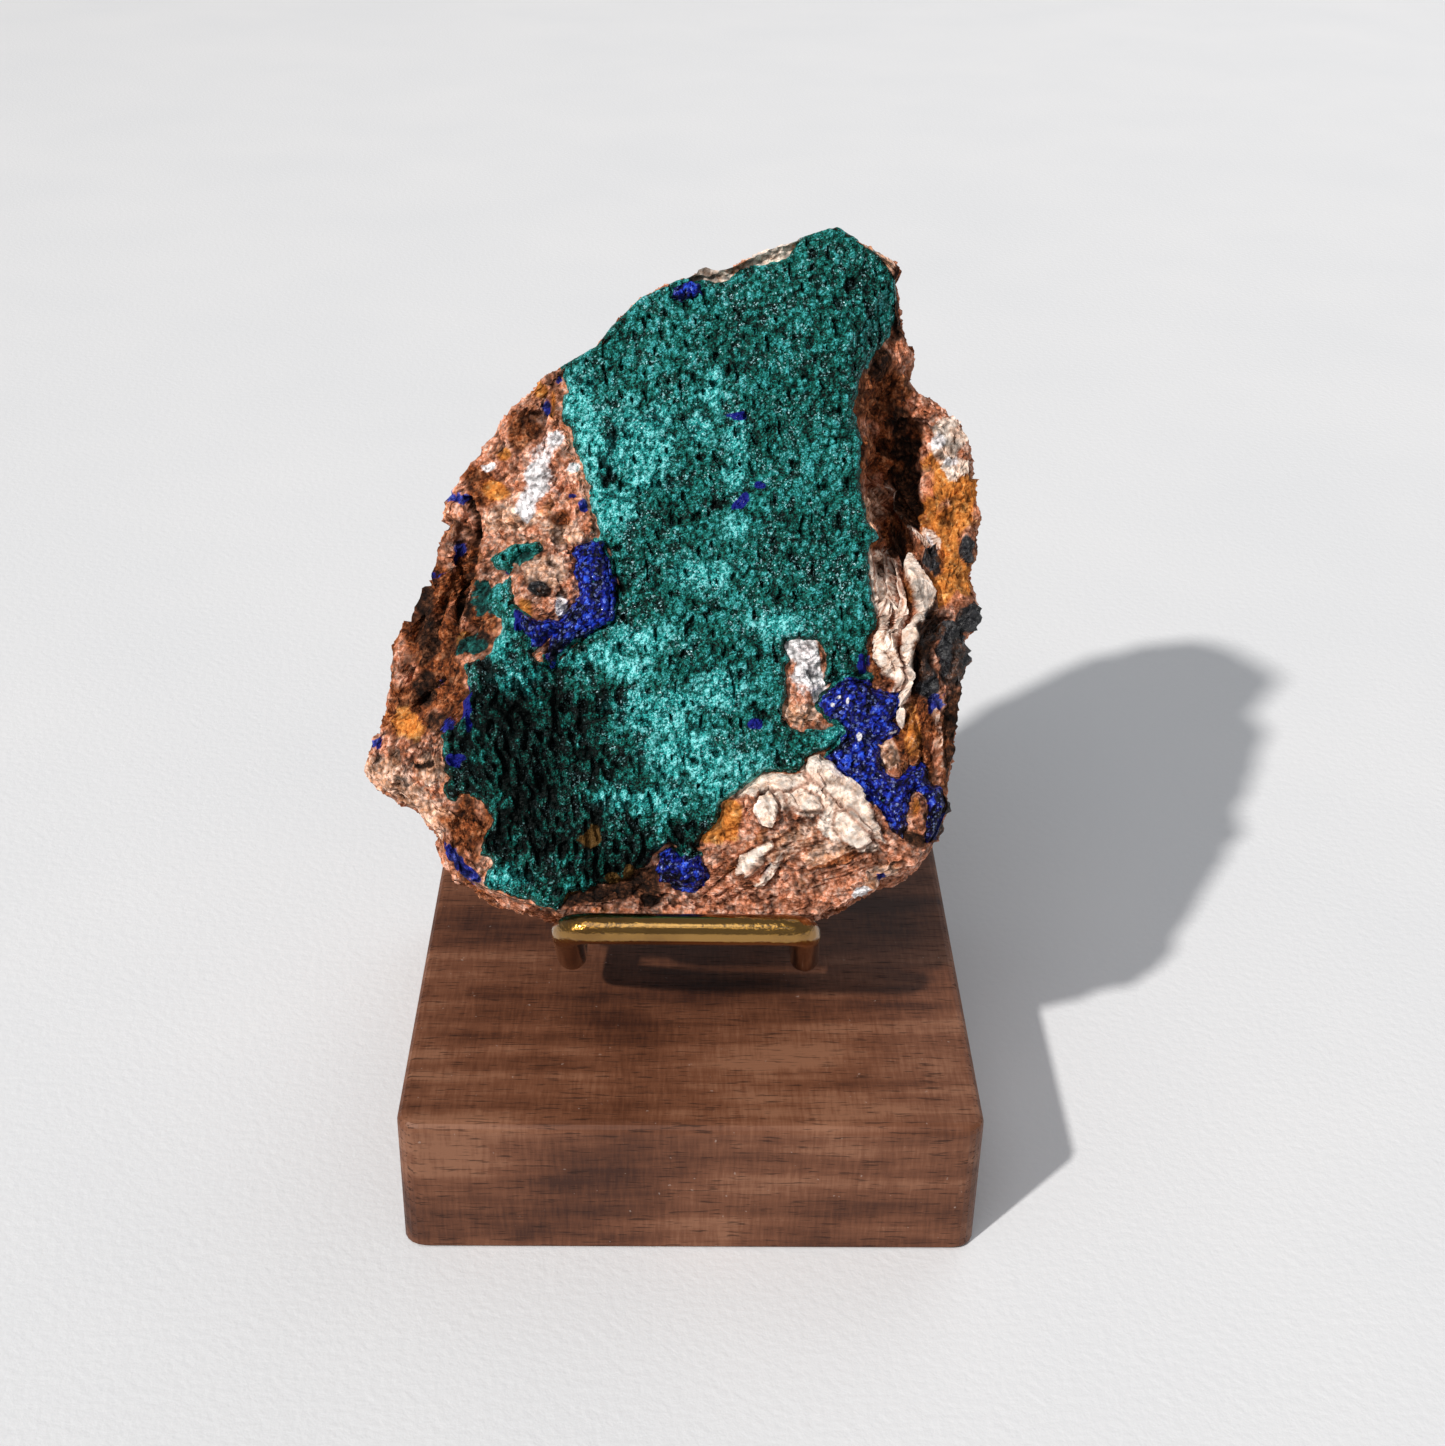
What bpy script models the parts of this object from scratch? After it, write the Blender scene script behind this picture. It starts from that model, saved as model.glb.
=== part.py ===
"""Azurite and malachite specimen on its display stand.

A thick piece of rock carries a skin of malachite and four patches of azurite. It leans back
33 degrees in a cradle of bent brass rod, and the rod's two ends stand in a walnut block.
Metres, +Z up, origin at the middle of the block's underside, front towards -Y.
"""

import math

import bmesh
import bpy
from mathutils import Vector, noise

MM = 0.001
FULL_TURN = 2.0 * math.pi

# Walnut block
BLOCK_SIDE = 76.2
BLOCK_HEIGHT = 21.1
BLOCK_CORNER_RADIUS = 3.0
BLOCK_TOP_ROUND = 1.2
BLOCK_BOTTOM_ROUND = 0.5

# Brass rod: the lip in front, an elbow below it, an arm rising under the rock on each side,
# the slope that the back of the rock lies on, and the leg down into the block
ROD_RADIUS = 2.0
ROD_GAP = 0.3
LIP_Y = -25.6
LIP_Z = 43.3
LIP_LEFT_X = -16.4
LIP_RIGHT_X = 14.4
ARM_LEFT_X = -16.4
ARM_RIGHT_X = 15.5
ELBOW = (-12.0, 28.7)
ARM_MIDDLE = (0.0, 30.4)
ARM_HEEL = (13.0, 35.7)
BACK_APEX = (29.5, 63.0)
LEG_Y = 29.5
LEG_DEPTH = 9.1
HOLE_RADIUS = ROD_RADIUS + ROD_GAP
LIP_CORNER_RADIUS = 3.2
ELBOW_RADIUS = 3.0
APEX_RADIUS = 2.6
ARM_MIDDLE_RADIUS = 14.0
HEEL_RADIUS = 6.0

# The rock's face: a plane that leans back, with u to the right, v up the slope and w out of it
LEAN = math.radians(33.0)
FACE_ORIGIN = Vector((0.0, -22.7, 44.0))
FACE_RIGHT = Vector((1.0, 0.0, 0.0))
FACE_UP = Vector((0.0, math.sin(LEAN), math.cos(LEAN)))
FACE_OUT = Vector((0.0, -math.cos(LEAN), math.sin(LEAN)))
HUB = (-2.0, 38.0)
THICKNESS = 32.0
SLANT_START = -71.0
FLANK_REACH = 15.0
SIDE_THINNING = (0.45, 20.0)
FOOT_THINNING = (0.3, 14.0)
THINNEST = 4.0

# Mounds and hollows of the face: height, u, v, reach along u, reach along v
FACE_MOUNDS = [
    (-2.4, -20.0, 15.0, 9.0, 10.0), (1.6, 0.0, 26.0, 12.0, 10.0), (-1.8, -9.0, 4.0, 8.0, 3.5),
]
# The same on bare rock: the right flank's deep hollow, its outer ledge, the rib of laths below
# them, and the swelling at the lower right
BARE_MOUNDS = [
    (-6.0, 28.0, 59.0, 4.0, 8.0), (2.6, 34.5, 56.0, 3.0, 8.0), (4.0, 27.5, 42.0, 3.0, 9.0),
    (2.6, 16.0, 11.0, 9.0, 7.0),
]
# The crack down the left flank, and how far it moves left for each millimetre up
CRACK = (-2.4, -31.0, 42.0, 1.6, 12.0)
CRACK_SLANT = 0.25

# Noise: height and size of the lumps
FACE_NOISE = [(1.1, 13.0), (0.5, 6.0)]
BARE_NOISE = [(1.2, 4.2), (0.6, 2.1)]
BACK_NOISE = [(2.2, 15.0), (1.0, 6.5)]
SIDE_NOISE = [(1.0, 14.0), (0.5, 6.0)]
CRUST_NOISE = [(0.4, 4.0)]
SIDE_ROUGHNESS = 0.05
BACK_FLARE = 0.0028

# The outline of the rock seen square to its face, clockwise from the top, as u, v and w
RIM = [
    (18.0, 90.2, -1.0), (21.6, 88.4, -2.0), (26.5, 85.9, -4.0), (26.0, 84.3, -4.5),
    (26.6, 80.0, -6.0), (28.1, 75.9, -9.0), (28.0, 72.0, -11.5), (31.5, 69.9, -14.0),
    (35.8, 67.6, -15.0), (37.5, 64.9, -15.0), (37.6, 60.0, -15.0), (38.3, 54.3, -14.0),
    (37.8, 49.1, -12.0), (36.1, 45.7, -9.0), (37.0, 41.7, -7.0), (36.6, 38.9, -6.0),
    (35.6, 37.2, -5.0), (35.0, 32.6, -3.0), (34.3, 26.6, -1.5), (33.2, 20.0, 0.0),
    (32.3, 16.7, 1.0), (32.6, 13.9, 2.0), (30.9, 9.8, 3.0), (28.7, 7.0, 3.0), (25.2, 5.1, 2.0),
    (21.7, 2.7, 1.5), (15.7, -0.1, 0.0), (10.0, -1.7, -1.0), (0.9, -2.4, -2.0),
    (-8.2, -1.8, -2.0), (-17.0, -0.3, -1.0), (-23.7, 1.4, -3.0), (-27.9, 3.0, -4.0),
    (-30.9, 4.8, -5.0), (-32.4, 7.7, -6.0), (-33.6, 10.5, -7.0), (-36.6, 13.6, -9.0),
    (-40.2, 15.6, -11.0), (-43.7, 18.6, -12.0), (-42.3, 23.3, -12.0), (-40.5, 25.8, -12.0),
    (-40.1, 32.5, -12.0), (-39.4, 36.2, -12.0), (-37.5, 39.7, -11.0), (-35.3, 43.3, -10.5),
    (-34.4, 46.6, -10.0), (-32.1, 51.3, -9.0), (-31.5, 55.6, -8.0), (-28.0, 59.4, -7.0),
    (-24.2, 65.2, -5.0), (-20.5, 69.7, -3.5), (-18.0, 71.2, -3.0), (-13.3, 73.7, -2.0),
    (-11.4, 76.4, -2.0), (-7.8, 80.1, -2.0), (-3.6, 82.4, -2.0), (0.1, 84.6, -3.0),
    (3.8, 84.9, -3.0), (7.5, 86.9, -3.0), (11.5, 88.5, -3.0), (15.2, 89.5, -2.0),
]

# The outer edge of the malachite skin, as u and v
MALACHITE_EDGE = [
    (17.9, 89.9), (20.5, 88.1), (24.0, 86.1), (25.2, 83.1), (25.1, 75.8), (22.3, 72.1),
    (20.8, 67.1), (21.7, 61.8), (21.4, 56.5), (22.4, 51.9), (23.9, 49.0), (22.6, 46.7),
    (22.9, 40.8), (23.9, 38.4), (22.6, 35.5), (22.5, 30.5), (17.8, 29.4), (16.7, 27.2),
    (19.2, 23.7), (17.3, 20.8), (14.4, 19.8), (13.7, 18.2), (9.1, 18.0), (5.9, 15.4),
    (3.6, 14.1), (3.0, 11.2), (0.8, 9.0), (-0.5, 6.6), (-2.8, 8.2), (-5.0, 6.9), (-5.7, 5.6),
    (-8.5, 4.0), (-12.1, 3.4), (-16.0, 2.1), (-17.0, -0.1), (-23.4, 1.6), (-27.0, 2.9),
    (-26.3, 6.2), (-26.9, 10.3), (-25.9, 11.6), (-28.4, 14.5), (-31.9, 14.2), (-32.8, 20.0),
    (-32.6, 22.6), (-30.5, 24.5), (-29.7, 28.4), (-30.3, 31.7), (-26.7, 33.7), (-21.5, 33.5),
    (-17.6, 33.5), (-12.5, 36.8), (-10.7, 38.4), (-11.0, 45.0), (-12.6, 47.8), (-14.0, 52.4),
    (-14.5, 55.4), (-16.1, 59.7), (-16.4, 62.4), (-18.0, 63.9), (-17.6, 70.4), (-13.2, 73.2),
    (-11.4, 75.9), (-7.7, 79.5), (-3.8, 81.8), (-3.4, 79.2), (0.6, 79.4), (0.9, 82.8),
    (3.8, 82.9), (6.0, 84.8), (10.3, 85.3), (13.2, 87.6), (15.1, 88.8),
]

# The azurite patches that lie against the malachite's edge
AZURITE = {
    "azurite_left": [(-15.5, 47.4), (-11.5, 47.6), (-10.7, 39.1), (-12.5, 36.8), (-17.6, 36.0),
                     (-21.5, 36.2), (-22.9, 38.5), (-19.0, 38.2), (-17.4, 40.3), (-16.6, 44.9)],
    "azurite_right": [(16.7, 28.5), (22.5, 30.3), (26.4, 28.8), (27.0, 26.0), (26.2, 23.4),
                      (27.6, 20.9), (30.6, 17.6), (32.4, 14.8), (30.1, 9.6), (25.8, 10.4),
                      (21.7, 16.3), (17.3, 20.8), (19.2, 23.7)],
    "azurite_bottom": [(-5.0, 6.9), (-2.8, 8.4), (-0.5, 6.3), (0.8, 9.0), (2.4, 5.0),
                       (0.4, 2.2), (-4.5, 3.0)],
    "azurite_top": [(-3.8, 81.8), (-3.4, 79.2), (0.6, 79.4), (0.9, 82.8), (-1.2, 83.0)],
}

# The mesh: spokes from the hub, crossed by rings
SPOKES = 96
MALACHITE_RINGS = 8
PATCH_RINGS = 2
FLANK_RINGS = 4
BACK_RINGS = [(0.2, 1.01), (0.45, 1.02), (0.75, 1.02), (0.93, 0.97), (1.0, 0.84), (1.0, 0.66),
              (1.0, 0.46), (1.0, 0.24)]
CRUST_THICKNESS = 1.1
CRUST_GAP = 0.35
CRUST_INSET = 0.2
THINNEST_CRUST = 0.4
LIP_CLEARANCE = ROD_RADIUS + 0.6
ARM_CLEARANCE = ROD_RADIUS + 0.45


def clear_scene():
    for old in list(bpy.data.objects):
        bpy.data.objects.remove(old, do_unlink=True)


def material(name, colour, roughness, metallic=0.0):
    mat = bpy.data.materials.new(name)
    mat.use_nodes = True
    shader = mat.node_tree.nodes["Principled BSDF"]
    shader.inputs["Base Color"].default_value = (*colour, 1.0)
    shader.inputs["Roughness"].default_value = roughness
    shader.inputs["Metallic"].default_value = metallic
    return mat


def add_object(name, data, mat):
    thing = bpy.data.objects.new(name, data)
    thing.data.materials.append(mat)
    bpy.context.scene.collection.objects.link(thing)
    return thing


def mesh_object(name, points, faces, mat):
    mesh = bpy.data.meshes.new(name)
    mesh.from_pydata([tuple(p * MM) for p in points], [], faces)
    mesh.update()
    return add_object(name, mesh, mat)


def smoothstep(low, high, value):
    t = min(1.0, max(0.0, (value - low) / (high - low)))
    return t * t * (3.0 - 2.0 * t)


def mound(u, v, shape):
    """A smooth mound, or a hollow where its height is negative."""
    height, centre_u, centre_v, reach_u, reach_v = shape
    return height * math.exp(-((u - centre_u) / reach_u) ** 2 - ((v - centre_v) / reach_v) ** 2)


def lumps(place, layers):
    return sum(height * noise.noise(place / size) for height, size in layers)


def face_to_world(u, v, w):
    return FACE_ORIGIN + FACE_RIGHT * u + FACE_UP * v + FACE_OUT * w


def crossings(outline, angle):
    """Distances from the hub at which a spoke crosses an outline, with the w there."""
    du, dv = math.cos(angle), math.sin(angle)
    found = []
    for a, b in zip(outline, outline[1:] + outline[:1]):
        au, av = a[0] - HUB[0], a[1] - HUB[1]
        bu, bv = b[0] - HUB[0], b[1] - HUB[1]
        side_a = au * dv - av * du
        side_b = bu * dv - bv * du
        if (side_a > 0.0) == (side_b > 0.0):
            continue
        t = side_a / (side_a - side_b)
        along = (au + (bu - au) * t) * du + (av + (bv - av) * t) * dv
        if along > 0.0:
            depth = a[2] + (b[2] - a[2]) * t if len(a) > 2 else 0.0
            found.append((along, depth))
    return sorted(found)


def patch_span(outline):
    """The first and last spoke angle that a patch covers."""
    middle = math.atan2(sum(p[1] for p in outline) / len(outline) - HUB[1],
                        sum(p[0] for p in outline) / len(outline) - HUB[0])
    turns = []
    for u, v in outline:
        turn = math.atan2(v - HUB[1], u - HUB[0]) - middle
        turns.append((turn + math.pi) % FULL_TURN - math.pi)
    return middle + min(turns), middle + max(turns)


def spoke_angles():
    """Spokes evenly spaced along the rim, with one moved to each end of each azurite patch."""
    corners = RIM + RIM[:1]
    lengths = [math.dist(a[:2], b[:2]) for a, b in zip(corners, corners[1:])]
    step = sum(lengths) / SPOKES
    angles = []
    for index in range(SPOKES):
        target = index * step
        side = 0
        while target > lengths[side]:
            target -= lengths[side]
            side += 1
        a, b = corners[side], corners[side + 1]
        t = target / lengths[side]
        u = a[0] + (b[0] - a[0]) * t
        v = a[1] + (b[1] - a[1]) * t
        angles.append(math.atan2(v - HUB[1], u - HUB[0]) % FULL_TURN)
    angles.sort()
    for outline in AZURITE.values():
        for end in patch_span(outline):
            gaps = [abs((angle - end + math.pi) % FULL_TURN - math.pi) for angle in angles]
            angles[gaps.index(min(gaps))] = end % FULL_TURN
    return sorted(angles)


def relief(u, v, past_edge, to_rim, rim_w):
    """Height of the matrix at u, v, so far outside the malachite's edge and inside the rim."""
    height = -(CRUST_THICKNESS + CRUST_GAP) * (1.0 - smoothstep(0.0, 1.5, past_edge))
    right = smoothstep(14.0, 20.0, u) * smoothstep(33.0, 38.0, v)
    drop = 1.0 - smoothstep(0.0, FLANK_REACH, to_rim)
    drop = max(drop, right * smoothstep(0.0, 2.5, past_edge))
    height += rim_w * drop
    place = Vector((u, v, 3.0))
    height += lumps(place, FACE_NOISE) + sum(mound(u, v, shape) for shape in FACE_MOUNDS)
    bare = smoothstep(0.0, 2.0, past_edge) * smoothstep(0.0, 1.5, to_rim)
    height += bare * sum(mound(u, v, shape) for shape in BARE_MOUNDS)
    height += bare * mound(u + (v - CRACK[2]) * CRACK_SLANT, v, CRACK)
    return height + bare * lumps(place, BARE_NOISE)


def thickness(u, v):
    """How far behind the face the back lies: the left side of the back is broken off at a slant."""
    slant = (u - SLANT_START - v * math.sin(LEAN)) / math.cos(LEAN)
    side = THICKNESS - SIDE_THINNING[0] * max(0.0, u - SIDE_THINNING[1])
    foot = THICKNESS - FOOT_THINNING[0] * max(0.0, FOOT_THINNING[1] - v)
    return min(slant, side, foot) + lumps(Vector((u, v, 40.0)), BACK_NOISE)


def keep_clear(point):
    """Move a point of the rock off the lip and above the arms and the sloped rests."""
    if LIP_LEFT_X - 4.0 < point.x < LIP_RIGHT_X + 4.0:
        off = Vector((0.0, point.y - LIP_Y, point.z - LIP_Z))
        if 0.0 < off.length < LIP_CLEARANCE:
            point = point + off.normalized() * (LIP_CLEARANCE - off.length)
    line = [(LIP_Y, LIP_Z), ELBOW, ARM_MIDDLE, ARM_HEEL, BACK_APEX]
    for (y0, z0), (y1, z1) in zip(line, line[1:]):
        slope = math.atan2(z1 - z0, y1 - y0)
        up = Vector((0.0, -math.sin(slope), math.cos(slope)))
        over = (point - Vector((0.0, y0, z0))).dot(up)
        if over < ARM_CLEARANCE:
            point = point + up * (ARM_CLEARANCE - over)
    return point


def rock_grid():
    """Each spoke's points, front and back, as u, v and w."""
    front = []
    back = []
    for angle in spoke_angles():
        du, dv = math.cos(angle), math.sin(angle)
        rim_radius, rim_w = crossings(RIM, angle)[-1]
        edge = min(crossings(MALACHITE_EDGE, angle)[-1][0], rim_radius - 0.9)
        outer = edge + 0.4 * (rim_radius - edge)
        for outline in AZURITE.values():
            hits = crossings(outline, angle)
            if hits:
                outer = max(min(hits[-1][0], rim_radius - 0.5), edge + 0.3)
        radii = [edge * (i + 1) / MALACHITE_RINGS for i in range(MALACHITE_RINGS)]
        radii += [edge + (outer - edge) * (i + 1) / PATCH_RINGS for i in range(PATCH_RINGS)]
        radii += [outer + (rim_radius - outer) * (i + 1) / FLANK_RINGS for i in range(FLANK_RINGS)]
        spoke = []
        for radius in radii:
            u, v = HUB[0] + du * radius, HUB[1] + dv * radius
            past_edge = max(0.0, radius - edge)
            spoke.append((u, v, relief(u, v, past_edge, rim_radius - radius, rim_w)))
        front.append(spoke)
        spoke = []
        for share, spread in BACK_RINGS:
            inner = rim_radius * spread
            u, v = HUB[0] + du * inner, HUB[1] + dv * inner
            depth = share * max(THINNEST, thickness(u, v) + rim_w)
            flare = 1.0 + BACK_FLARE * depth * (0.4 + 0.6 * max(0.0, dv))
            flare += SIDE_ROUGHNESS * share * lumps(Vector((u, v, depth)), SIDE_NOISE)
            u, v = HUB[0] + du * inner * flare, HUB[1] + dv * inner * flare
            spoke.append((u, v, rim_w - depth))
        back.append(spoke)
    return front, back


def build_matrix(front, back, mat):
    points = [face_to_world(*HUB, relief(*HUB, 0.0, FLANK_REACH, 0.0))]
    rings = [[spoke[i] for spoke in front] for i in range(len(front[0]))]
    rings += [[spoke[i] for spoke in back] for i in range(len(back[0]))]
    for ring in rings:
        points += [face_to_world(*place) for place in ring]
    points.append(face_to_world(*HUB, -thickness(*HUB)))
    points = [keep_clear(point) for point in points]
    faces = []
    for j in range(SPOKES):
        k = (j + 1) % SPOKES
        faces.append((0, 1 + j, 1 + k))
        for i in range(len(rings) - 1):
            near, far = 1 + i * SPOKES, 1 + (i + 1) * SPOKES
            faces.append((near + j, far + j, far + k))
            faces.append((near + j, far + k, near + k))
        last = 1 + (len(rings) - 1) * SPOKES
        faces.append((last + j, len(points) - 1, last + k))
    return mesh_object("rock_matrix", points, faces, mat)


def build_crust(name, front, cells, mat):
    """A closed skin over some cells of the front; a cell is a ring number and a spoke number."""
    corners = {}
    sides = {}
    top = []
    for ring, j in cells:
        k = (j + 1) % SPOKES
        loop = [(ring - 1, j), (ring, j), (ring, k), (ring - 1, k)]
        if ring == 0:
            loop = ["hub", (ring, j), (ring, k)]
        middle_u = sum(HUB[0] if c == "hub" else front[c[1]][c[0]][0] for c in loop) / len(loop)
        middle_v = sum(HUB[1] if c == "hub" else front[c[1]][c[0]][1] for c in loop) / len(loop)
        for c in loop:
            corners.setdefault(c, []).append((middle_u, middle_v))
        for a, b in zip(loop, loop[1:] + loop[:1]):
            if (b, a) in sides:
                del sides[(b, a)]
            else:
                sides[(a, b)] = True
        top.append(loop)
    rim = {c for side in sides for c in side}
    order = {c: index for index, c in enumerate(corners)}
    lower = []
    upper = []
    for c, middles in corners.items():
        u, v, w = (*HUB, relief(*HUB, 0.0, FLANK_REACH, 0.0)) if c == "hub" else front[c[1]][c[0]]
        lift = CRUST_THICKNESS * (0.9 + lumps(Vector((u, v, 9.0)), CRUST_NOISE))
        if c in rim:
            inward_u = sum(m[0] for m in middles) / len(middles) - u
            inward_v = sum(m[1] for m in middles) / len(middles) - v
            length = math.hypot(inward_u, inward_v) or 1.0
            u += inward_u / length * CRUST_INSET
            v += inward_v / length * CRUST_INSET
            lift *= 0.6
        lower.append(keep_clear(face_to_world(u, v, w + CRUST_GAP)))
        upper.append(keep_clear(face_to_world(u, v, w + CRUST_GAP + max(THINNEST_CRUST, lift))))
    count = len(lower)
    faces = []
    for loop in top:
        ids = [order[c] for c in loop]
        for i in range(1, len(ids) - 1):
            faces.append((ids[0] + count, ids[i] + count, ids[i + 1] + count))
            faces.append((ids[0], ids[i + 1], ids[i]))
    for a, b in sides:
        faces.append((order[a], order[b], order[b] + count, order[a] + count))
    return mesh_object(name, lower + upper, faces, mat)


def patch_cells(outline, angles):
    """The cells of the patch rings whose middles lie between the patch's first and last spokes."""
    first, last = patch_span(outline)
    cells = []
    for j in range(SPOKES):
        here = angles[j]
        middle = here + (angles[(j + 1) % SPOKES] - here) % FULL_TURN / 2.0
        if (middle - first) % FULL_TURN < last - first:
            cells += [(MALACHITE_RINGS + i, j) for i in range(PATCH_RINGS)]
    return cells


def rounded_path(corners):
    """Points along straight runs joined by arcs; each corner is a point and its bend radius."""
    path = [corners[0][0]]
    for (before, _), (corner, radius), (after, _) in zip(corners, corners[1:], corners[2:]):
        to_before = (before - corner).normalized()
        to_after = (after - corner).normalized()
        half = to_before.angle(to_after) / 2.0
        bisector = (to_before + to_after).normalized()
        centre = corner + bisector * (radius / math.sin(half))
        start = corner + to_before * (radius / math.tan(half)) - centre
        axis = to_before.cross(to_after).normalized()
        turn = math.pi - 2.0 * half
        steps = max(2, round(turn / math.radians(18.0)))
        for i in range(steps + 1):
            angle = -turn * i / steps
            path.append(centre + start * math.cos(angle) + axis.cross(start) * math.sin(angle))
    path.append(corners[-1][0])
    return path


def build_rod(mat):
    foot_z = BLOCK_HEIGHT - LEG_DEPTH

    def side(arm_x):
        return [
            (Vector((arm_x, LEG_Y, foot_z)), 0.0),
            (Vector((arm_x, *BACK_APEX)), APEX_RADIUS),
            (Vector((arm_x, *ARM_HEEL)), HEEL_RADIUS),
            (Vector((arm_x, *ARM_MIDDLE)), ARM_MIDDLE_RADIUS),
            (Vector((arm_x, *ELBOW)), ELBOW_RADIUS),
        ]

    corners = side(ARM_LEFT_X)
    corners.append((Vector((LIP_LEFT_X, LIP_Y, LIP_Z)), LIP_CORNER_RADIUS))
    corners.append((Vector((LIP_RIGHT_X, LIP_Y, LIP_Z)), LIP_CORNER_RADIUS))
    corners += reversed(side(ARM_RIGHT_X))
    path = rounded_path(corners)
    curve = bpy.data.curves.new("brass_cradle", "CURVE")
    curve.dimensions = "3D"
    curve.bevel_depth = ROD_RADIUS * MM
    curve.bevel_resolution = 4
    curve.use_fill_caps = True
    spline = curve.splines.new("POLY")
    spline.points.add(len(path) - 1)
    for point, place in zip(spline.points, path):
        point.co = (*(place * MM), 1.0)
        point.radius = 1.0
    spline.use_smooth = True
    return add_object("brass_cradle", curve, mat)


def build_block(mat):
    mesh = bpy.data.meshes.new("walnut_block")
    bm = bmesh.new()
    bmesh.ops.create_cube(bm, size=1.0)
    bmesh.ops.scale(bm, verts=bm.verts, vec=(BLOCK_SIDE * MM, BLOCK_SIDE * MM, BLOCK_HEIGHT * MM))
    bmesh.ops.translate(bm, verts=bm.verts, vec=(0.0, 0.0, BLOCK_HEIGHT * MM / 2.0))
    upright = [e for e in bm.edges if abs(e.verts[0].co.z - e.verts[1].co.z) > MM]
    bmesh.ops.bevel(bm, geom=upright, offset=BLOCK_CORNER_RADIUS * MM, segments=5, profile=0.5,
                    affect="EDGES")
    for level, width, segments in ((BLOCK_HEIGHT, BLOCK_TOP_ROUND, 3), (0.0, BLOCK_BOTTOM_ROUND, 1)):
        around = [e for e in bm.edges if all(abs(v.co.z - level * MM) < 1e-6 for v in e.verts)]
        bmesh.ops.bevel(bm, geom=around, offset=width * MM, segments=segments, profile=0.5,
                        affect="EDGES")
    bm.to_mesh(mesh)
    bm.free()
    block = add_object("walnut_block", mesh, mat)
    for arm_x in (ARM_LEFT_X, ARM_RIGHT_X):
        bpy.ops.mesh.primitive_cylinder_add(
            vertices=20, radius=HOLE_RADIUS * MM, depth=2.0 * (LEG_DEPTH + ROD_GAP) * MM,
            location=(arm_x * MM, LEG_Y * MM, BLOCK_HEIGHT * MM))
        drill = bpy.context.object
        drill.name = "drill"
        drill.hide_render = True
        drill.display_type = "WIRE"
        cut = block.modifiers.new("hole", "BOOLEAN")
        cut.operation = "DIFFERENCE"
        cut.solver = "EXACT"
        cut.object = drill
    return block


def main():
    clear_scene()
    walnut = material("walnut", (0.15, 0.075, 0.047), 0.5)
    brass = material("brass", (0.72, 0.5, 0.16), 0.25, 1.0)
    rock = material("rock", (0.45, 0.19, 0.1), 0.85)
    malachite = material("malachite", (0.01, 0.19, 0.16), 0.6)
    azurite = material("azurite", (0.015, 0.03, 0.42), 0.4)
    build_block(walnut)
    build_rod(brass)
    front, back = rock_grid()
    build_matrix(front, back, rock)
    skin = [(ring, j) for ring in range(MALACHITE_RINGS) for j in range(SPOKES)]
    build_crust("malachite_crust", front, skin, malachite)
    angles = spoke_angles()
    for name, outline in AZURITE.items():
        build_crust(name, front, patch_cells(outline, angles), azurite)


main()
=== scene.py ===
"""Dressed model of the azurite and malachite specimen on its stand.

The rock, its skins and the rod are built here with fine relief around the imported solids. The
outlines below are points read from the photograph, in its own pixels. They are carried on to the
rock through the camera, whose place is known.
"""
import math

import bpy
import numpy as np
from mathutils import Matrix, Vector, noise


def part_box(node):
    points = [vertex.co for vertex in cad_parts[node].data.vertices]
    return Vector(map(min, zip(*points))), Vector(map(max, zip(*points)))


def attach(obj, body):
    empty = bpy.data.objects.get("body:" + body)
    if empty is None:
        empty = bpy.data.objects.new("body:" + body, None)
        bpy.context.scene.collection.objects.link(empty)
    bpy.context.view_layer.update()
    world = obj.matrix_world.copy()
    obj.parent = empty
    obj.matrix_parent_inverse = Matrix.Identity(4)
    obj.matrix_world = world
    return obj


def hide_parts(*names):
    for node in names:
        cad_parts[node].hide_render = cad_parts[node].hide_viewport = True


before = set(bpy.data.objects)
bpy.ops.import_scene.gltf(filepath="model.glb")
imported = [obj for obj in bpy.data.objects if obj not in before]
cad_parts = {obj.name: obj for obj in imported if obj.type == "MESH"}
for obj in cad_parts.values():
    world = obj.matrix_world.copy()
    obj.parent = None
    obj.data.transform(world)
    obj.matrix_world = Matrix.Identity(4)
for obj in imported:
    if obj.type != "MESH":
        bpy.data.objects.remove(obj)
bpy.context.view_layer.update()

MM = 0.001
FULL_TURN = 2.0 * math.pi

# The camera, in millimetres and degrees, fitted to the block's edges in the photograph
PHOTO_WIDTH = 1445.0
PHOTO_HEIGHT = 1446.0
FOCAL_PIXELS = 2056.9
SENSOR_WIDTH = 36.0
CAMERA_AT = np.array([-2.72, -240.63, 198.24])
PITCH = math.radians(30.03)
YAW = math.radians(1.55)
ROLL = math.radians(-1.34)
PIXELS_PER_MM = 7.0

# The same values as in the part's source, in millimetres
BLOCK_HEIGHT = 21.1
ROD_RADIUS = 2.0
LIP_Y = -25.6
LIP_Z = 43.3
LIP_LEFT_X = -16.4
LIP_RIGHT_X = 14.4
ARM_LEFT_X = -16.4
ARM_RIGHT_X = 15.5
ELBOW = (-12.0, 28.7)
ARM_MIDDLE = (0.0, 30.4)
ARM_HEEL = (13.0, 35.7)
BACK_APEX = (29.5, 63.0)
LEG_Y = 29.5
LEG_DEPTH = 9.1
LIP_CORNER_RADIUS = 3.2
ELBOW_RADIUS = 3.0
APEX_RADIUS = 2.6
ARM_MIDDLE_RADIUS = 14.0
HEEL_RADIUS = 6.0
LEAN = math.radians(33.0)
FACE_ORIGIN = np.array([0.0, -22.7, 44.0])
FACE_RIGHT = np.array([1.0, 0.0, 0.0])
FACE_UP = np.array([0.0, math.sin(LEAN), math.cos(LEAN)])
FACE_OUT = np.array([0.0, -math.cos(LEAN), math.sin(LEAN)])
HUB = (-2.0, 38.0)
THICKNESS = 32.0
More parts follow.
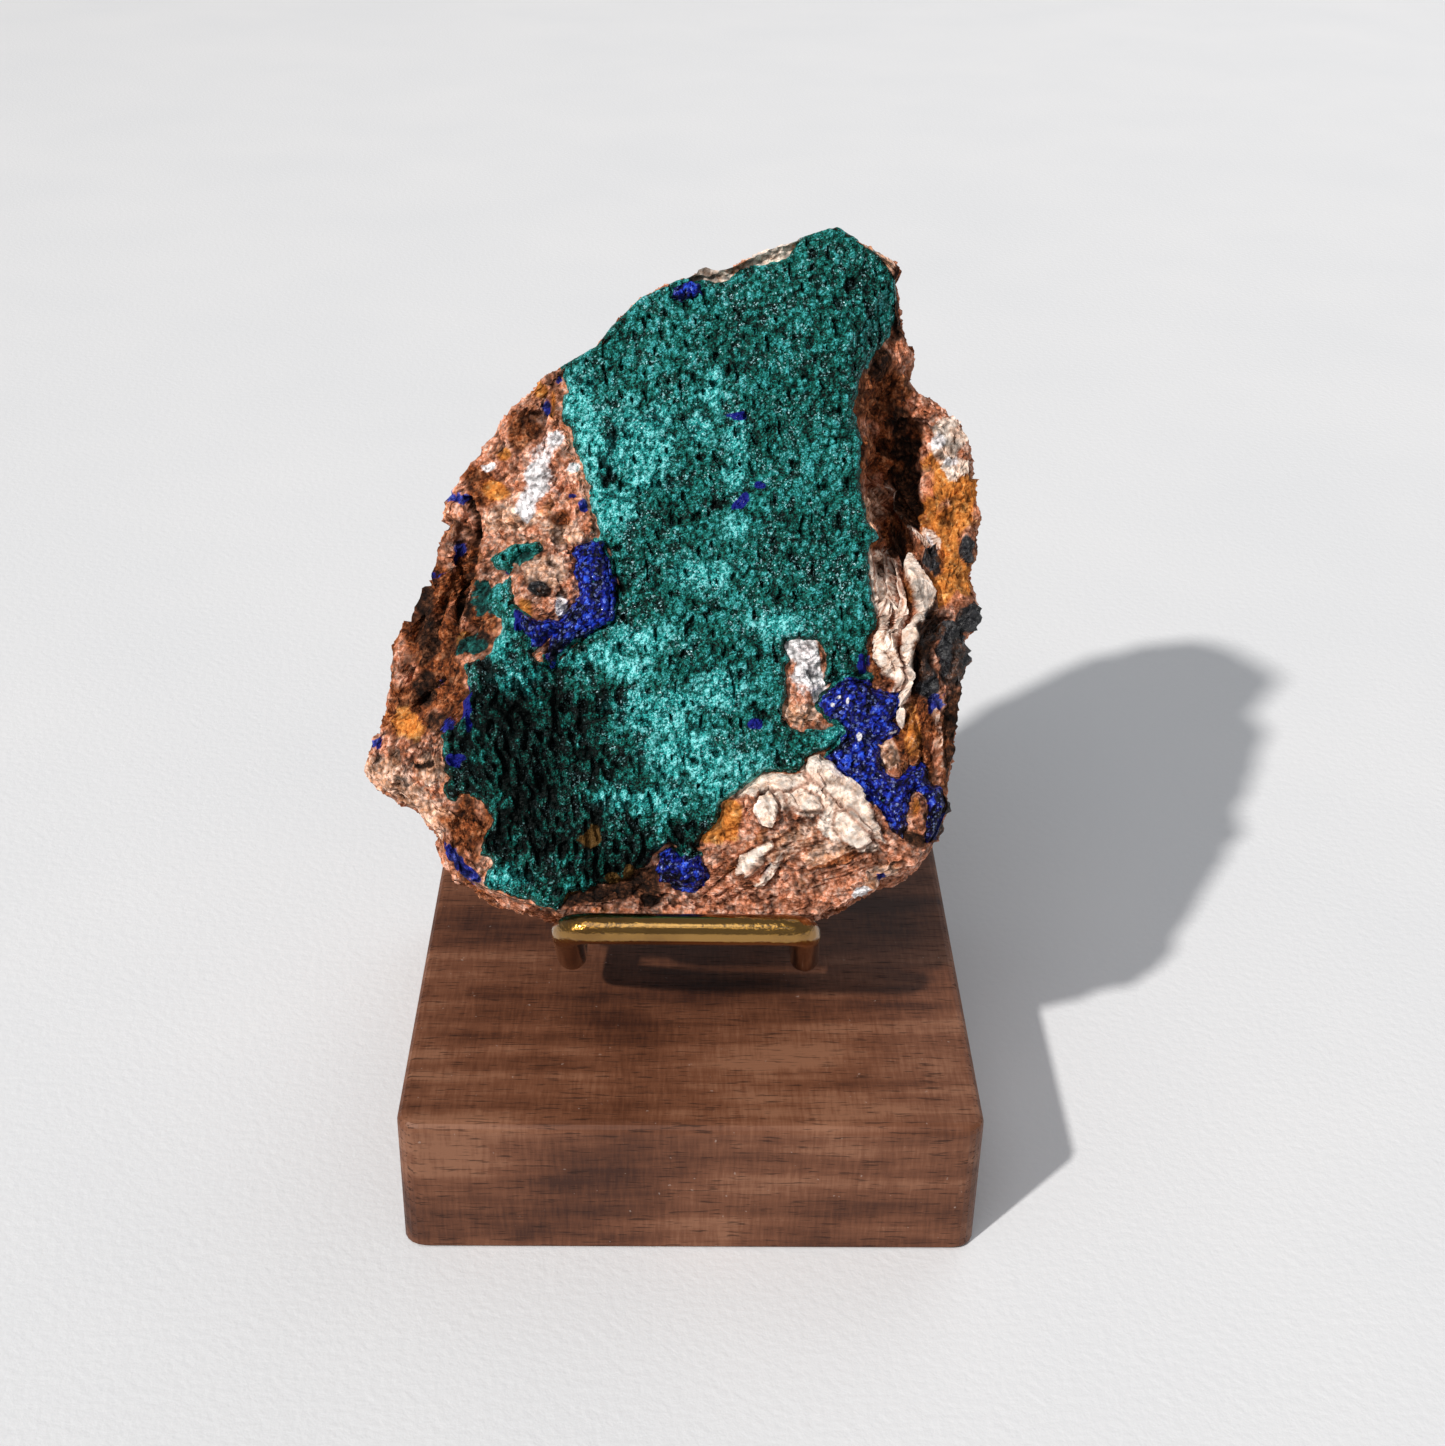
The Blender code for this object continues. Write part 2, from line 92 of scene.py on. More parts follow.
SLANT_START = -71.0
FLANK_REACH = 15.0
SIDE_THINNING = (0.45, 20.0)
FOOT_THINNING = (0.3, 14.0)
THINNEST = 4.0
FACE_MOUNDS = [
    (-2.4, -20.0, 15.0, 9.0, 10.0), (1.6, 0.0, 26.0, 12.0, 10.0), (-1.8, -9.0, 4.0, 8.0, 3.5),
]
BARE_MOUNDS = [
    (-6.0, 28.0, 59.0, 4.0, 8.0), (2.6, 34.5, 56.0, 3.0, 8.0), (4.0, 27.5, 42.0, 3.0, 9.0),
    (2.6, 16.0, 11.0, 9.0, 7.0),
]
CRACK = (-2.4, -31.0, 42.0, 1.6, 12.0)
CRACK_SLANT = 0.25
FACE_NOISE = [(1.1, 13.0), (0.5, 6.0)]
BARE_NOISE = [(1.2, 4.2), (0.6, 2.1)]
BACK_NOISE = [(2.2, 15.0), (1.0, 6.5)]
SIDE_NOISE = [(1.0, 14.0), (0.5, 6.0)]
SIDE_ROUGHNESS = 0.05
BACK_FLARE = 0.0028
CRUST_DEPTH = 1.45
LIP_CLEARANCE = ROD_RADIUS + 0.6
ARM_CLEARANCE = ROD_RADIUS + 0.45
BACK_RINGS = [(0.0, 1.0), (0.2, 1.01), (0.45, 1.02), (0.75, 1.02), (0.93, 0.97), (1.0, 0.84),
              (1.0, 0.66), (1.0, 0.46), (1.0, 0.24), (1.0, 0.04)]
RIM = [
    (18.0, 90.2, -1.0), (21.6, 88.4, -2.0), (26.5, 85.9, -4.0), (26.0, 84.3, -4.5),
    (26.6, 80.0, -6.0), (28.1, 75.9, -9.0), (28.0, 72.0, -11.5), (31.5, 69.9, -14.0),
    (35.8, 67.6, -15.0), (37.5, 64.9, -15.0), (37.6, 60.0, -15.0), (38.3, 54.3, -14.0),
    (37.8, 49.1, -12.0), (36.1, 45.7, -9.0), (37.0, 41.7, -7.0), (36.6, 38.9, -6.0),
    (35.6, 37.2, -5.0), (35.0, 32.6, -3.0), (34.3, 26.6, -1.5), (33.2, 20.0, 0.0),
    (32.3, 16.7, 1.0), (32.6, 13.9, 2.0), (30.9, 9.8, 3.0), (28.7, 7.0, 3.0), (25.2, 5.1, 2.0),
    (21.7, 2.7, 1.5), (15.7, -0.1, 0.0), (10.0, -1.7, -1.0), (0.9, -2.4, -2.0),
    (-8.2, -1.8, -2.0), (-17.0, -0.3, -1.0), (-23.7, 1.4, -3.0), (-27.9, 3.0, -4.0),
    (-30.9, 4.8, -5.0), (-32.4, 7.7, -6.0), (-33.6, 10.5, -7.0), (-36.6, 13.6, -9.0),
    (-40.2, 15.6, -11.0), (-43.7, 18.6, -12.0), (-42.3, 23.3, -12.0), (-40.5, 25.8, -12.0),
    (-40.1, 32.5, -12.0), (-39.4, 36.2, -12.0), (-37.5, 39.7, -11.0), (-35.3, 43.3, -10.5),
    (-34.4, 46.6, -10.0), (-32.1, 51.3, -9.0), (-31.5, 55.6, -8.0), (-28.0, 59.4, -7.0),
    (-24.2, 65.2, -5.0), (-20.5, 69.7, -3.5), (-18.0, 71.2, -3.0), (-13.3, 73.7, -2.0),
    (-11.4, 76.4, -2.0), (-7.8, 80.1, -2.0), (-3.6, 82.4, -2.0), (0.1, 84.6, -3.0),
    (3.8, 84.9, -3.0), (7.5, 86.9, -3.0), (11.5, 88.5, -3.0), (15.2, 89.5, -2.0),
]

# Outlines on the face, in pixels of the photograph, clockwise
MALACHITE = [
    (558, 360), (590, 336), (600, 325), (630, 292), (664, 272), (690, 279), (705, 279),
    (715, 281), (728, 279), (735, 272), (745, 265), (760, 263), (778, 262), (788, 255), (796, 240),
    (808, 224), (824, 214), (840, 212), (856, 226), (862, 242), (872, 248), (883, 257), (890, 268),
    (898, 280), (899, 300), (897, 320), (890, 337), (880, 350), (868, 362), (862, 380), (858, 395),
    (855, 405), (858, 425), (863, 440), (863, 460), (860, 475), (862, 490), (867, 505), (868, 520),
    (876, 530), (880, 537), (872, 545), (869, 555), (870, 575), (873, 590), (872, 600), (879, 615),
    (877, 630), (869, 640), (868, 655), (868, 675), (855, 678), (840, 680), (832, 685), (825, 690),
    (838, 724), (845, 733), (838, 742), (828, 752), (815, 754), (808, 757), (805, 765), (800, 772),
    (790, 775), (778, 773), (765, 773), (757, 778), (750, 785), (740, 793), (732, 798), (722, 803),
    (722, 815), (717, 825), (705, 835), (698, 850), (690, 862), (680, 860), (675, 848), (668, 845),
    (655, 855), (650, 868), (640, 870), (628, 880), (612, 885), (600, 885), (585, 892), (570, 895),
    (563, 905), (560, 912), (545, 908), (530, 902), (512, 898), (500, 893), (488, 890), (481, 884),
    (484, 875), (490, 865), (490, 858), (478, 857), (480, 845), (486, 830), (492, 820), (487, 815),
    (482, 805), (475, 798), (462, 795), (456, 802), (448, 800), (443, 793), (443, 783), (449, 778),
    (443, 770), (441, 755), (443, 742), (440, 735), (447, 728), (456, 725), (462, 715), (462, 700),
    (468, 693), (466, 683), (462, 665), (470, 660), (483, 657), (490, 650), (493, 640), (499, 632),
    (500, 620), (488, 615), (484, 605), (484, 595), (490, 588), (500, 582), (508, 575), (492, 568),
    (490, 560), (497, 552), (505, 546), (515, 543), (528, 542), (540, 540), (545, 548), (540, 554),
    (528, 552), (520, 556), (514, 563), (512, 575), (513, 590), (517, 602), (524, 612), (530, 625),
    (533, 640), (534, 655), (552, 667), (575, 642), (600, 627), (613, 622), (615, 605), (618, 590),
    (614, 575), (612, 560), (607, 550), (600, 543), (595, 520), (590, 508), (587, 495), (588, 485),
    (583, 475), (580, 462), (574, 452), (573, 440), (570, 430), (560, 425), (561, 410), (562, 395),
    (568, 392), (563, 380),
]
CALCITE_WINDOW = [
    (785, 640), (800, 640), (818, 641), (824, 650), (826, 660), (824, 670), (821, 680), (823, 690),
    (826, 697), (820, 702), (815, 703), (822, 712), (830, 720), (838, 724), (825, 728), (800, 730),
    (790, 725), (783, 715), (784, 705), (788, 695), (789, 680), (786, 670), (790, 660), (786, 650),
]
AZURITE = {
    "azurite_left": [
        (578, 546), (590, 542), (604, 543), (607, 553), (612, 562), (614, 575), (616, 590),
        (615, 603), (615, 610), (613, 621), (600, 627), (590, 632), (582, 638), (575, 642),
        (566, 650), (558, 655), (552, 667), (545, 660), (548, 645), (555, 633), (548, 637),
        (540, 645), (533, 650), (528, 638), (522, 625), (519, 612), (528, 615), (538, 620),
        (550, 618), (558, 620), (566, 612), (572, 604), (580, 595), (578, 585), (574, 570),
        (576, 560), (570, 553),
    ],
    "azurite_right": [
        (817, 703), (824, 693), (830, 687), (842, 680), (852, 678), (868, 680), (873, 688),
        (885, 690), (898, 692), (903, 703), (897, 715), (892, 722), (902, 725), (899, 735),
        (885, 742), (876, 745), (879, 752), (882, 765), (888, 775), (900, 778), (906, 770),
        (915, 765), (920, 760), (928, 768), (930, 780), (940, 787), (946, 797), (947, 808),
        (942, 822), (936, 836), (929, 843), (923, 836), (927, 822), (928, 806), (924, 793),
        (915, 790), (908, 800), (906, 815), (907, 828), (903, 840), (893, 833), (886, 822), (880, 812),
        (870, 800), (862, 787), (850, 780), (840, 775), (832, 765), (825, 757), (828, 752),
        (838, 742), (845, 733), (840, 725), (830, 720), (822, 712),
    ],
    "azurite_bottom": [
        (660, 855), (672, 847), (680, 851), (690, 853), (698, 855), (702, 862), (708, 868),
        (711, 875), (705, 885), (695, 893), (680, 890), (662, 880), (655, 870),
    ],
    "azurite_top": [
        (672, 300), (675, 285), (688, 280), (700, 288), (703, 298), (690, 303), (680, 307),
    ],
}

# Patches of colour, in pixels of the photograph: x, y, reach across, reach down and, where it is
# turned, the turn in degrees
WHITE = [
    (542, 474, 15, 30, 14), (530, 504, 9, 16, 10), (556, 440, 9, 6), (575, 468, 6, 5),
    (492, 466, 8, 4, -30), (805, 662, 16, 26, -12), (817, 690, 9, 14, -10), (940, 441, 8, 9),
    (949, 461, 7, 5), (932, 546, 4, 8, -30), (767, 812, 7, 10, 10), (768, 872, 12, 5, -50),
    (860, 892, 10, 5, -25), (562, 606, 6, 10), (790, 783, 10, 5),
]
CREAM = [
    (775, 254, 34, 12, -24), (704, 276, 26, 9, -8), (742, 788, 16, 8, -25), (780, 786, 30, 14),
    (812, 772, 14, 12), (836, 800, 28, 20, 35), (846, 826, 24, 18), (808, 806, 22, 12),
    (880, 565, 12, 14), (878, 592, 10, 24), (868, 848, 12, 8), (950, 440, 16, 22), (955, 466, 12, 12),
    (932, 540, 6, 14, -30),
]
PALE = [
    (765, 258, 46, 14, -24), (705, 276, 34, 9, -8), (790, 840, 40, 16, -20), (830, 850, 30, 12, -20),
    (876, 252, 22, 12, 30), (890, 752, 10, 18, -20), (936, 730, 4, 26, -8), (886, 880, 20, 14),
    (380, 768, 16, 18), (410, 795, 30, 14, 35), (432, 815, 24, 12, 40), (430, 770, 16, 18),
    (960, 500, 12, 24), (800, 715, 18, 14), (540, 570, 24, 16), (560, 530, 20, 14), (510, 515, 24, 16),
    (870, 510, 10, 16),
]
OCHRE = [
    (497, 492, 12, 10), (542, 392, 7, 8), (553, 402, 5, 14), (504, 455, 6, 7), (412, 722, 16, 14),
    (945, 480, 20, 22), (945, 525, 22, 30), (952, 560, 20, 24), (932, 592, 26, 20), (730, 824, 12, 22),
    (916, 806, 8, 16), (962, 500, 16, 30), (964, 570, 12, 26), (912, 735, 9, 26), (716, 835, 14, 10),
    (524, 606, 7, 12, -30), (462, 640, 8, 12),
]
RUST = [
    (430, 600, 26, 46, 15), (462, 575, 16, 40, 10), (436, 645, 34, 34), (430, 690, 34, 26),
    (410, 715, 26, 22), (452, 690, 20, 30), (882, 662, 16, 30), (900, 530, 18, 22), (885, 400, 30, 34),
    (890, 450, 32, 34), (952, 745, 14, 46), (485, 485, 16, 18), (525, 430, 12, 18),
    (468, 825, 24, 32, 10), (920, 722, 14, 40), (922, 765, 12, 22), (905, 605, 4, 30, 10),
    (940, 470, 4, 30), (880, 540, 14, 10), (905, 735, 10, 40), (480, 620, 16, 16), (560, 520, 10, 8),
    (845, 858, 40, 4, -18), (760, 850, 44, 4, -32),
]
# Dark patches: partly dark stone, partly painted shade in the deep hollows
DARK_AND_SHADE = [
    (898, 420, 10, 18), (908, 452, 12, 16), (906, 488, 14, 30), (880, 360, 10, 18), (912, 512, 12, 20),
    (898, 300, 8, 40), (430, 640, 8, 24, 10), (428, 690, 10, 20), (425, 600, 12, 20),
    (925, 640, 12, 34, 10), (953, 700, 8, 60, 4), (950, 760, 8, 26), (440, 725, 12, 14),
    (425, 765, 10, 4), (540, 590, 8, 6), (600, 893, 60, 12, -3), (640, 885, 26, 16),
    (898, 545, 8, 16, 20), (916, 840, 10, 9), (554, 652, 11, 16), (470, 610, 6, 14),
    (935, 820, 10, 24, 20), (475, 640, 14, 10),
]
GREY = [
    (930, 564, 11, 11), (966, 548, 6, 15), (966, 615, 10, 16), (930, 630, 14, 18), (948, 655, 18, 34),
    (926, 682, 12, 20), (938, 815, 10, 20), (538, 588, 10, 6),
]
BLUE = [
    (546, 408, 4, 8), (464, 498, 4, 6), (456, 552, 6, 12, 25), (573, 497, 4, 3), (583, 508, 4, 6),
    (440, 683, 4, 5), (935, 705, 9, 10), (452, 858, 8, 13, -30), (468, 872, 14, 6, 30), (882, 877, 4, 4),
    (448, 725, 6, 7), (508, 572, 3, 5), (440, 577, 6, 3), (560, 380, 3, 4), (378, 742, 3, 6),
    (866, 660, 4, 7), (938, 828, 12, 16, 20),
]
TEAL = [
    (470, 645, 18, 10), (485, 600, 10, 18), (520, 555, 20, 8, -15), (865, 678, 8, 6),
]
# Patches on the azurite, painted almost black: painted shade
AZURITE_SHADE = [
    (938, 815, 10, 30, 20), (905, 835, 12, 10), (838, 745, 10, 8), (930, 775, 8, 8), (668, 880, 18, 10),
    (558, 650, 12, 12),
]
# Patches on the malachite: pale mint bloom, and the tan pebbles in the pit at its foot
MINT = [
    (584, 402, 10, 18), (635, 460, 26, 22, 20), (640, 480, 20, 12), (712, 392, 12, 16),
    (700, 430, 14, 16), (735, 480, 12, 10), (735, 528, 11, 12), (605, 500, 14, 22), (600, 520, 12, 18),
    (585, 460, 12, 12), (660, 720, 34, 16, 10), (640, 700, 24, 10), (690, 745, 30, 16), (672, 765, 8, 16),
    (740, 770, 24, 14), (690, 700, 40, 10), (775, 625, 22, 12), (660, 800, 24, 14), (720, 790, 20, 14),
    (600, 655, 24, 10, -20), (625, 670, 20, 12), (520, 680, 18, 14), (500, 640, 12, 20),
    (505, 880, 20, 12), (590, 430, 16, 30), (640, 440, 30, 30), (830, 735, 14, 8), (620, 800, 16, 12),
    (530, 600, 8, 14), (735, 440, 10, 20), (565, 660, 14, 8), (700, 575, 30, 14), (640, 640, 30, 12),
    (600, 450, 22, 26), (615, 510, 18, 24, 10), (690, 755, 46, 22, 14), (650, 715, 34, 14, 10),
    (725, 690, 26, 16), (575, 410, 12, 26),
]
# Patches of the malachite that are coarser and pitted, and painted darker: painted shade
SHADED = [
    (530, 760, 76, 76), (560, 830, 70, 46), (620, 860, 56, 30), (500, 720, 40, 30), (505, 830, 26, 24),
    (690, 840, 24, 16), (607, 470, 7, 30), (731, 372, 6, 8), (719, 506, 9, 7), (618, 585, 6, 12),
    (485, 665, 12, 8),
]
SPOTS = [
    (755, 724, 7, 5), (735, 418, 9, 4), (760, 487, 6, 3), (742, 503, 10, 4, -45), (520, 622, 6, 10, -20),
    (862, 665, 5, 8), (468, 708, 6, 20), (455, 760, 8, 8),
]
SPECKS = [
    (831, 706, 3, 3), (846, 702, 2, 3), (858, 738, 3, 4), (838, 698, 2, 2), (892, 733, 5, 1, -20),
]
PEBBLES = [
    (618, 882, 10, 7, 30), (630, 875, 8, 8), (575, 898, 14, 6, -20), (590, 838, 10, 12), (640, 893, 9, 7),
    (605, 897, 12, 6),
]

# Stains on the rock, the dark ones partly painted shade: their patches, how coarse their ragged edges are in
# millimetres, and how soft
STAINS = {
    "cream": (CREAM, 2.5, 0.5), "pale": (PALE, 3.5, 0.7), "ochre": (OCHRE, 3.0, 0.6),
    "rust": (RUST, 2.6, 0.6), "dark_and_shade": (DARK_AND_SHADE, 2.2, 0.5), "teal": (TEAL, 1.4, 0.3),
}

# Blades of calcite and ribs: points along each in pixels, half width in pixels, rise in
# millimetres and how pale it is
BLADES = [
    ([(896, 566), (903, 596), (904, 622), (897, 645)], 3, 1.3, 0.9),
    ([(888, 560), (893, 590), (894, 625), (886, 650)], 4, 1.2, 0.9),
    ([(876, 552), (881, 580), (884, 612), (880, 640)], 4, 1.0, 0.9),
    ([(868, 548), (872, 575), (875, 600)], 3, 0.8, 0.8),
    ([(893, 650), (898, 672), (895, 692)], 5, 0.9, 0.8),
    ([(880, 655), (884, 675)], 4, 0.7, 0.4),
    ([(868, 482), (892, 508), (914, 540), (929, 570)], 3, 1.2, 0.0),
    ([(882, 490), (906, 520), (933, 558)], 3, 1.4, 1.0),
    ([(868, 500), (884, 520), (898, 548)], 3, 1.0, 0.0),
    ([(895, 480), (920, 515), (940, 556)], 3, 0.9, 0.0),
    ([(908, 700), (912, 740), (916, 775)], 4, 1.0, 0.3),
    ([(922, 700), (927, 735), (926, 760)], 4, 0.9, 0.2),
    ([(934, 705), (939, 740), (942, 770)], 4, 0.8, 0.4),
    ([(747, 874), (763, 858)], 3, 0.6, 0.9),
    ([(758, 884), (770, 872), (779, 858)], 4, 0.8, 1.0),
    ([(742, 882), (760, 866), (790, 849), (815, 842)], 3, 0.6, 0.25),
    ([(700, 892), (725, 870), (745, 856)], 3, 0.6, 0.2),
    ([(722, 900), (742, 886), (760, 880)], 3, 0.5, 0.1),
    ([(820, 880), (845, 872), (872, 862)], 3, 0.5, 0.0),
]
# Slabs of calcite with sharp edges: the outline in pixels, the rise in millimetres and how pale
SLABS = [
    ([(904, 560), (912, 566), (922, 584), (934, 610), (928, 626), (918, 642), (914, 664),
      (909, 698), (903, 728), (897, 724), (900, 692), (902, 668), (900, 650), (908, 630),
      (911, 606), (905, 584)], 1.9, 1.0),
    ([(874, 640), (888, 634), (898, 644), (901, 662), (896, 684), (884, 678), (876, 662)], 1.0, 0.8),
    ([(736, 796), (744, 782), (760, 774), (782, 773), (804, 774), (808, 784), (792, 791),
      (768, 790), (752, 797)], 0.7, 0.9),
    ([(808, 756), (820, 754), (832, 764), (846, 778), (860, 790), (868, 806), (880, 826),
      (888, 846), (872, 838), (858, 822), (844, 806), (828, 794), (814, 782), (806, 770)], 0.9, 0.9),
    ([(758, 797), (770, 793), (778, 800), (779, 814), (771, 828), (762, 824), (756, 810)], 1.0, 1.0),
    ([(784, 794), (802, 790), (818, 798), (822, 810), (806, 812), (788, 806)], 0.5, 0.9),
    ([(836, 812), (852, 812), (866, 826), (872, 842), (858, 850), (844, 842), (834, 828)], 0.6, 0.9),
    ([(736, 868), (742, 856), (758, 846), (772, 840), (774, 848), (760, 858), (748, 872),
      (738, 876)], 0.7, 1.0),
    ([(920, 556), (930, 552), (941, 558), (942, 570), (932, 577), (921, 572)], 1.0, 0.0),
    ([(961, 536), (968, 533), (973, 545), (971, 560), (964, 562), (960, 550)], 0.6, 0.0),
    ([(958, 604), (966, 599), (975, 606), (975, 622), (966, 632), (957, 622)], 0.9, 0.0),
    ([(936, 626), (946, 620), (958, 628), (963, 650), (960, 676), (952, 690), (944, 680),
      (938, 655)], 1.1, 0.0),
    ([(917, 668), (926, 662), (936, 672), (938, 690), (928, 698), (919, 690)], 0.9, 0.0),
]
# Ridges and cracks: points along each and half width in pixels, and the rise in millimetres,
# which is negative for a crack
RIDGES = [
    ([(468, 500), (477, 520), (479, 535), (472, 560), (462, 600), (455, 630)], 4, -2.0),
    ([(446, 600), (440, 625), (434, 650)], 4, -1.2),
    ([(440, 680), (425, 692), (418, 705)], 5, -1.3),
    ([(420, 660), (410, 680)], 3, -0.9),
    ([(430, 590), (420, 620), (416, 640)], 5, -1.0),
    ([(890, 520), (900, 545), (905, 560)], 4, -1.3),
    ([(895, 570), (900, 600), (892, 640)], 3, -1.2),
    ([(925, 620), (916, 650), (914, 690)], 5, -1.6),
    ([(770, 786), (790, 792), (800, 806)], 2, -0.6),
    ([(818, 775), (828, 790), (842, 806)], 2, -0.7),
    ([(752, 795), (778, 800), (786, 822)], 2, -0.5),
    ([(462, 505), (450, 545), (440, 580)], 6, 0.8),
    ([(450, 570), (434, 610), (424, 650), (416, 700)], 6, 0.8),
    ([(492, 520), (484, 560), (470, 610)], 6, 0.6),
    ([(900, 380), (890, 420), (884, 460)], 6, 0.9),
    ([(925, 445), (930, 480), (934, 515)], 2, -0.7),
    ([(938, 425), (946, 448), (958, 462)], 2, -0.6),
    ([(958, 430), (952, 455), (962, 480)], 2, -0.6),
    ([(927, 492), (945, 500), (962, 488)], 2, -0.6),
    ([(940, 500), (948, 520), (950, 545)], 2, -0.5),
    ([(925, 590), (940, 600), (955, 612)], 2, -0.5),
    ([(875, 390), (872, 430), (872, 465)], 5, 0.8),
]

# Spacing of the calcite's fibres, in pixels
FIBRE_SPACING = 3.4

# How finely the meshes are cut: spokes and rings of the rock, and cells and steps in millimetres
SPOKES = 620
HIDDEN_RINGS = 5
FACE_RINGS = 88
BACK_RING_COUNT = 154
MALACHITE_CELL = 0.2
AZURITE_CELL = 0.17
ROD_SIDES = 36
ROD_STEP = 0.8
BEND_STEP = math.radians(4.0)

# How far the malachite rolls over the rim, how deep the rock is sunk under it, and how far the
# rock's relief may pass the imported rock's box, in millimetres
OVER_RIM = 1.1
SUNK_UNDER_MALACHITE = 1.3
PAST_ROCK_BOX = 0.8

# How far the malachite's cover runs on beside and under the azurite, in pixels
BESIDE_AZURITE = 4.0
AZURITE_NEARNESS = 7.0
UNDER_AZURITE = 3.0

# The stage, in millimetres
AIM_HEIGHT = 60.0
FLOOR_RADIUS = 2500.0


# The camera, and helpers for numbers and outlines
def camera_axes():
    forward = np.array([math.sin(YAW) * math.cos(PITCH), math.cos(YAW) * math.cos(PITCH), -math.sin(PITCH)])
    level = np.array([math.cos(YAW), -math.sin(YAW), 0.0])
    fall = np.cross(forward, level)
    right = math.cos(ROLL) * level + math.sin(ROLL) * fall
    down = -math.sin(ROLL) * level + math.cos(ROLL) * fall
    return right, down, forward


CAMERA_RIGHT, CAMERA_DOWN, CAMERA_FORWARD = camera_axes()


def to_photo(points):
    """Where points in millimetres fall in the photograph, in pixels."""
    offset = np.asarray(points, float) - CAMERA_AT
    depth = offset @ CAMERA_FORWARD
    x = PHOTO_WIDTH / 2.0 + FOCAL_PIXELS * (offset @ CAMERA_RIGHT) / depth
    y = PHOTO_HEIGHT / 2.0 + FOCAL_PIXELS * (offset @ CAMERA_DOWN) / depth
    return np.stack([x, y], -1)


def from_photo(x, y):
    """The u and v at which a pixel's line of sight meets the face plane."""
    sight = CAMERA_FORWARD + CAMERA_RIGHT * (x - PHOTO_WIDTH / 2.0) / FOCAL_PIXELS
    sight = sight + CAMERA_DOWN * (y - PHOTO_HEIGHT / 2.0) / FOCAL_PIXELS
    reach = ((FACE_ORIGIN - CAMERA_AT) @ FACE_OUT) / (sight @ FACE_OUT)
    place = CAMERA_AT + sight * reach - FACE_ORIGIN
    return float(place @ FACE_RIGHT), float(place @ FACE_UP)


def smoothstep(low, high, value):
    t = np.clip((value - low) / (high - low), 0.0, 1.0)
    return t * t * (3.0 - 2.0 * t)


def mound(u, v, shape):
    height, centre_u, centre_v, reach_u, reach_v = shape
    return height * np.exp(-((u - centre_u) / reach_u) ** 2 - ((v - centre_v) / reach_v) ** 2)


def at_level(u, v, level):
    """Places over the face, all at one level, from which a noise is read."""
    return np.stack([u, v, np.full(len(u), level)], -1)


def perlin(places, size):
    return np.array([noise.noise(p) for p in (places / size).tolist()])


def lumps(places, layers):
    return sum(height * perlin(places, size) for height, size in layers)


def scatter(points, salt):
    """A number from 0 to 1 for each point, the same for the same point."""
    value = np.sin(points @ np.array([12.9898, 78.233, 37.719]) + salt) * 43758.5453
    return value - np.floor(value)


def cells(places, size, offset):
    """For each place: distances to the nearest two seeds, in cell sizes, and the nearest seed."""
    near = np.empty((len(places), 2))
    seeds = np.empty((len(places), 3))
    for i, p in enumerate((places / size + offset).tolist()):
        distances, found = noise.voronoi(p)
        near[i] = distances[0], distances[1]
        seeds[i] = found[0]
    return near, seeds


def facets(places, size, offset):
    """Heights of flat broken faces that tilt this way and that, about -1 to 1."""
    _, seeds = cells(places, size, offset)
    tilt = np.stack([scatter(seeds, salt) for salt in (0.0, 2.1, 4.2)], -1) * 2.0 - 1.0
    step = scatter(seeds, 6.3) - 0.5
    return ((places / size + offset - seeds) * tilt).sum(-1) * 1.3 + step * 0.5


def nodules(places, size, offset):
    """Heights of rounded nodules that meet in creases, 0 to 1."""
    near, seeds = cells(places, size, offset)
    dome = np.clip(1.0 - (near[:, 0] / 0.75) ** 2, 0.0, 1.0)
    crease = smoothstep(0.0, 0.35, near[:, 1] - near[:, 0])
    return dome * (0.45 + 0.55 * crease) * (0.6 + 0.4 * scatter(seeds, 1.0))


def inside_by(points, outline):
    """How far inside an outline each point lies; outside it, the distance is negative."""
    best = np.full(len(points), 1e9)
    inside = np.zeros(len(points), bool)
    x, y = points[:, 0], points[:, 1]
    for (ax, ay), (bx, by) in zip(outline, outline[1:] + outline[:1]):
        ex, ey = bx - ax, by - ay
        t = np.clip(((x - ax) * ex + (y - ay) * ey) / (ex * ex + ey * ey), 0.0, 1.0)
        best = np.minimum(best, (x - ax - t * ex) ** 2 + (y - ay - t * ey) ** 2)
        if ey != 0.0:
            inside ^= ((ay > y) != (by > y)) & (x < ax + (y - ay) * ex / ey)
    return np.where(inside, 1.0, -1.0) * np.sqrt(best)


def along_by(points, line):
    """Distance of each point from an open line, and the same with a sign for its side."""
    best = np.full(len(points), 1e9)
    side = np.ones(len(points))
    x, y = points[:, 0], points[:, 1]
    for (ax, ay), (bx, by) in zip(line, line[1:]):
        ex, ey = bx - ax, by - ay
        t = np.clip(((x - ax) * ex + (y - ay) * ey) / (ex * ex + ey * ey), 0.0, 1.0)
        far = (x - ax - t * ex) ** 2 + (y - ay - t * ey) ** 2
        side = np.where(far < best, np.sign((x - ax) * ey - (y - ay) * ex), side)
        best = np.minimum(best, far)
    return np.sqrt(best), side * np.sqrt(best)


def patch(points, ragged, shapes, soft=0.3):
    """How strongly points lie in any of some ragged ellipses, 0 to 1."""
    best = np.zeros(len(points))
    for x, y, reach_x, reach_y, *turn in shapes:
        angle = math.radians(turn[0]) if turn else 0.0
        c, s = math.cos(angle), math.sin(angle)
        dx, dy = points[:, 0] - x, points[:, 1] - y
        far = np.hypot((dx * c + dy * s) / reach_x, (-dx * s + dy * c) / reach_y)
        best = np.maximum(best, 1.0 - smoothstep(1.0 - soft, 1.0 + soft, far + 0.75 * ragged))
    return best


# The rock's smooth form, the same as in the part's source
def face_to_world(u, v, w):
    return (FACE_ORIGIN + np.multiply.outer(u, FACE_RIGHT) + np.multiply.outer(v, FACE_UP)
            + np.multiply.outer(w, FACE_OUT))


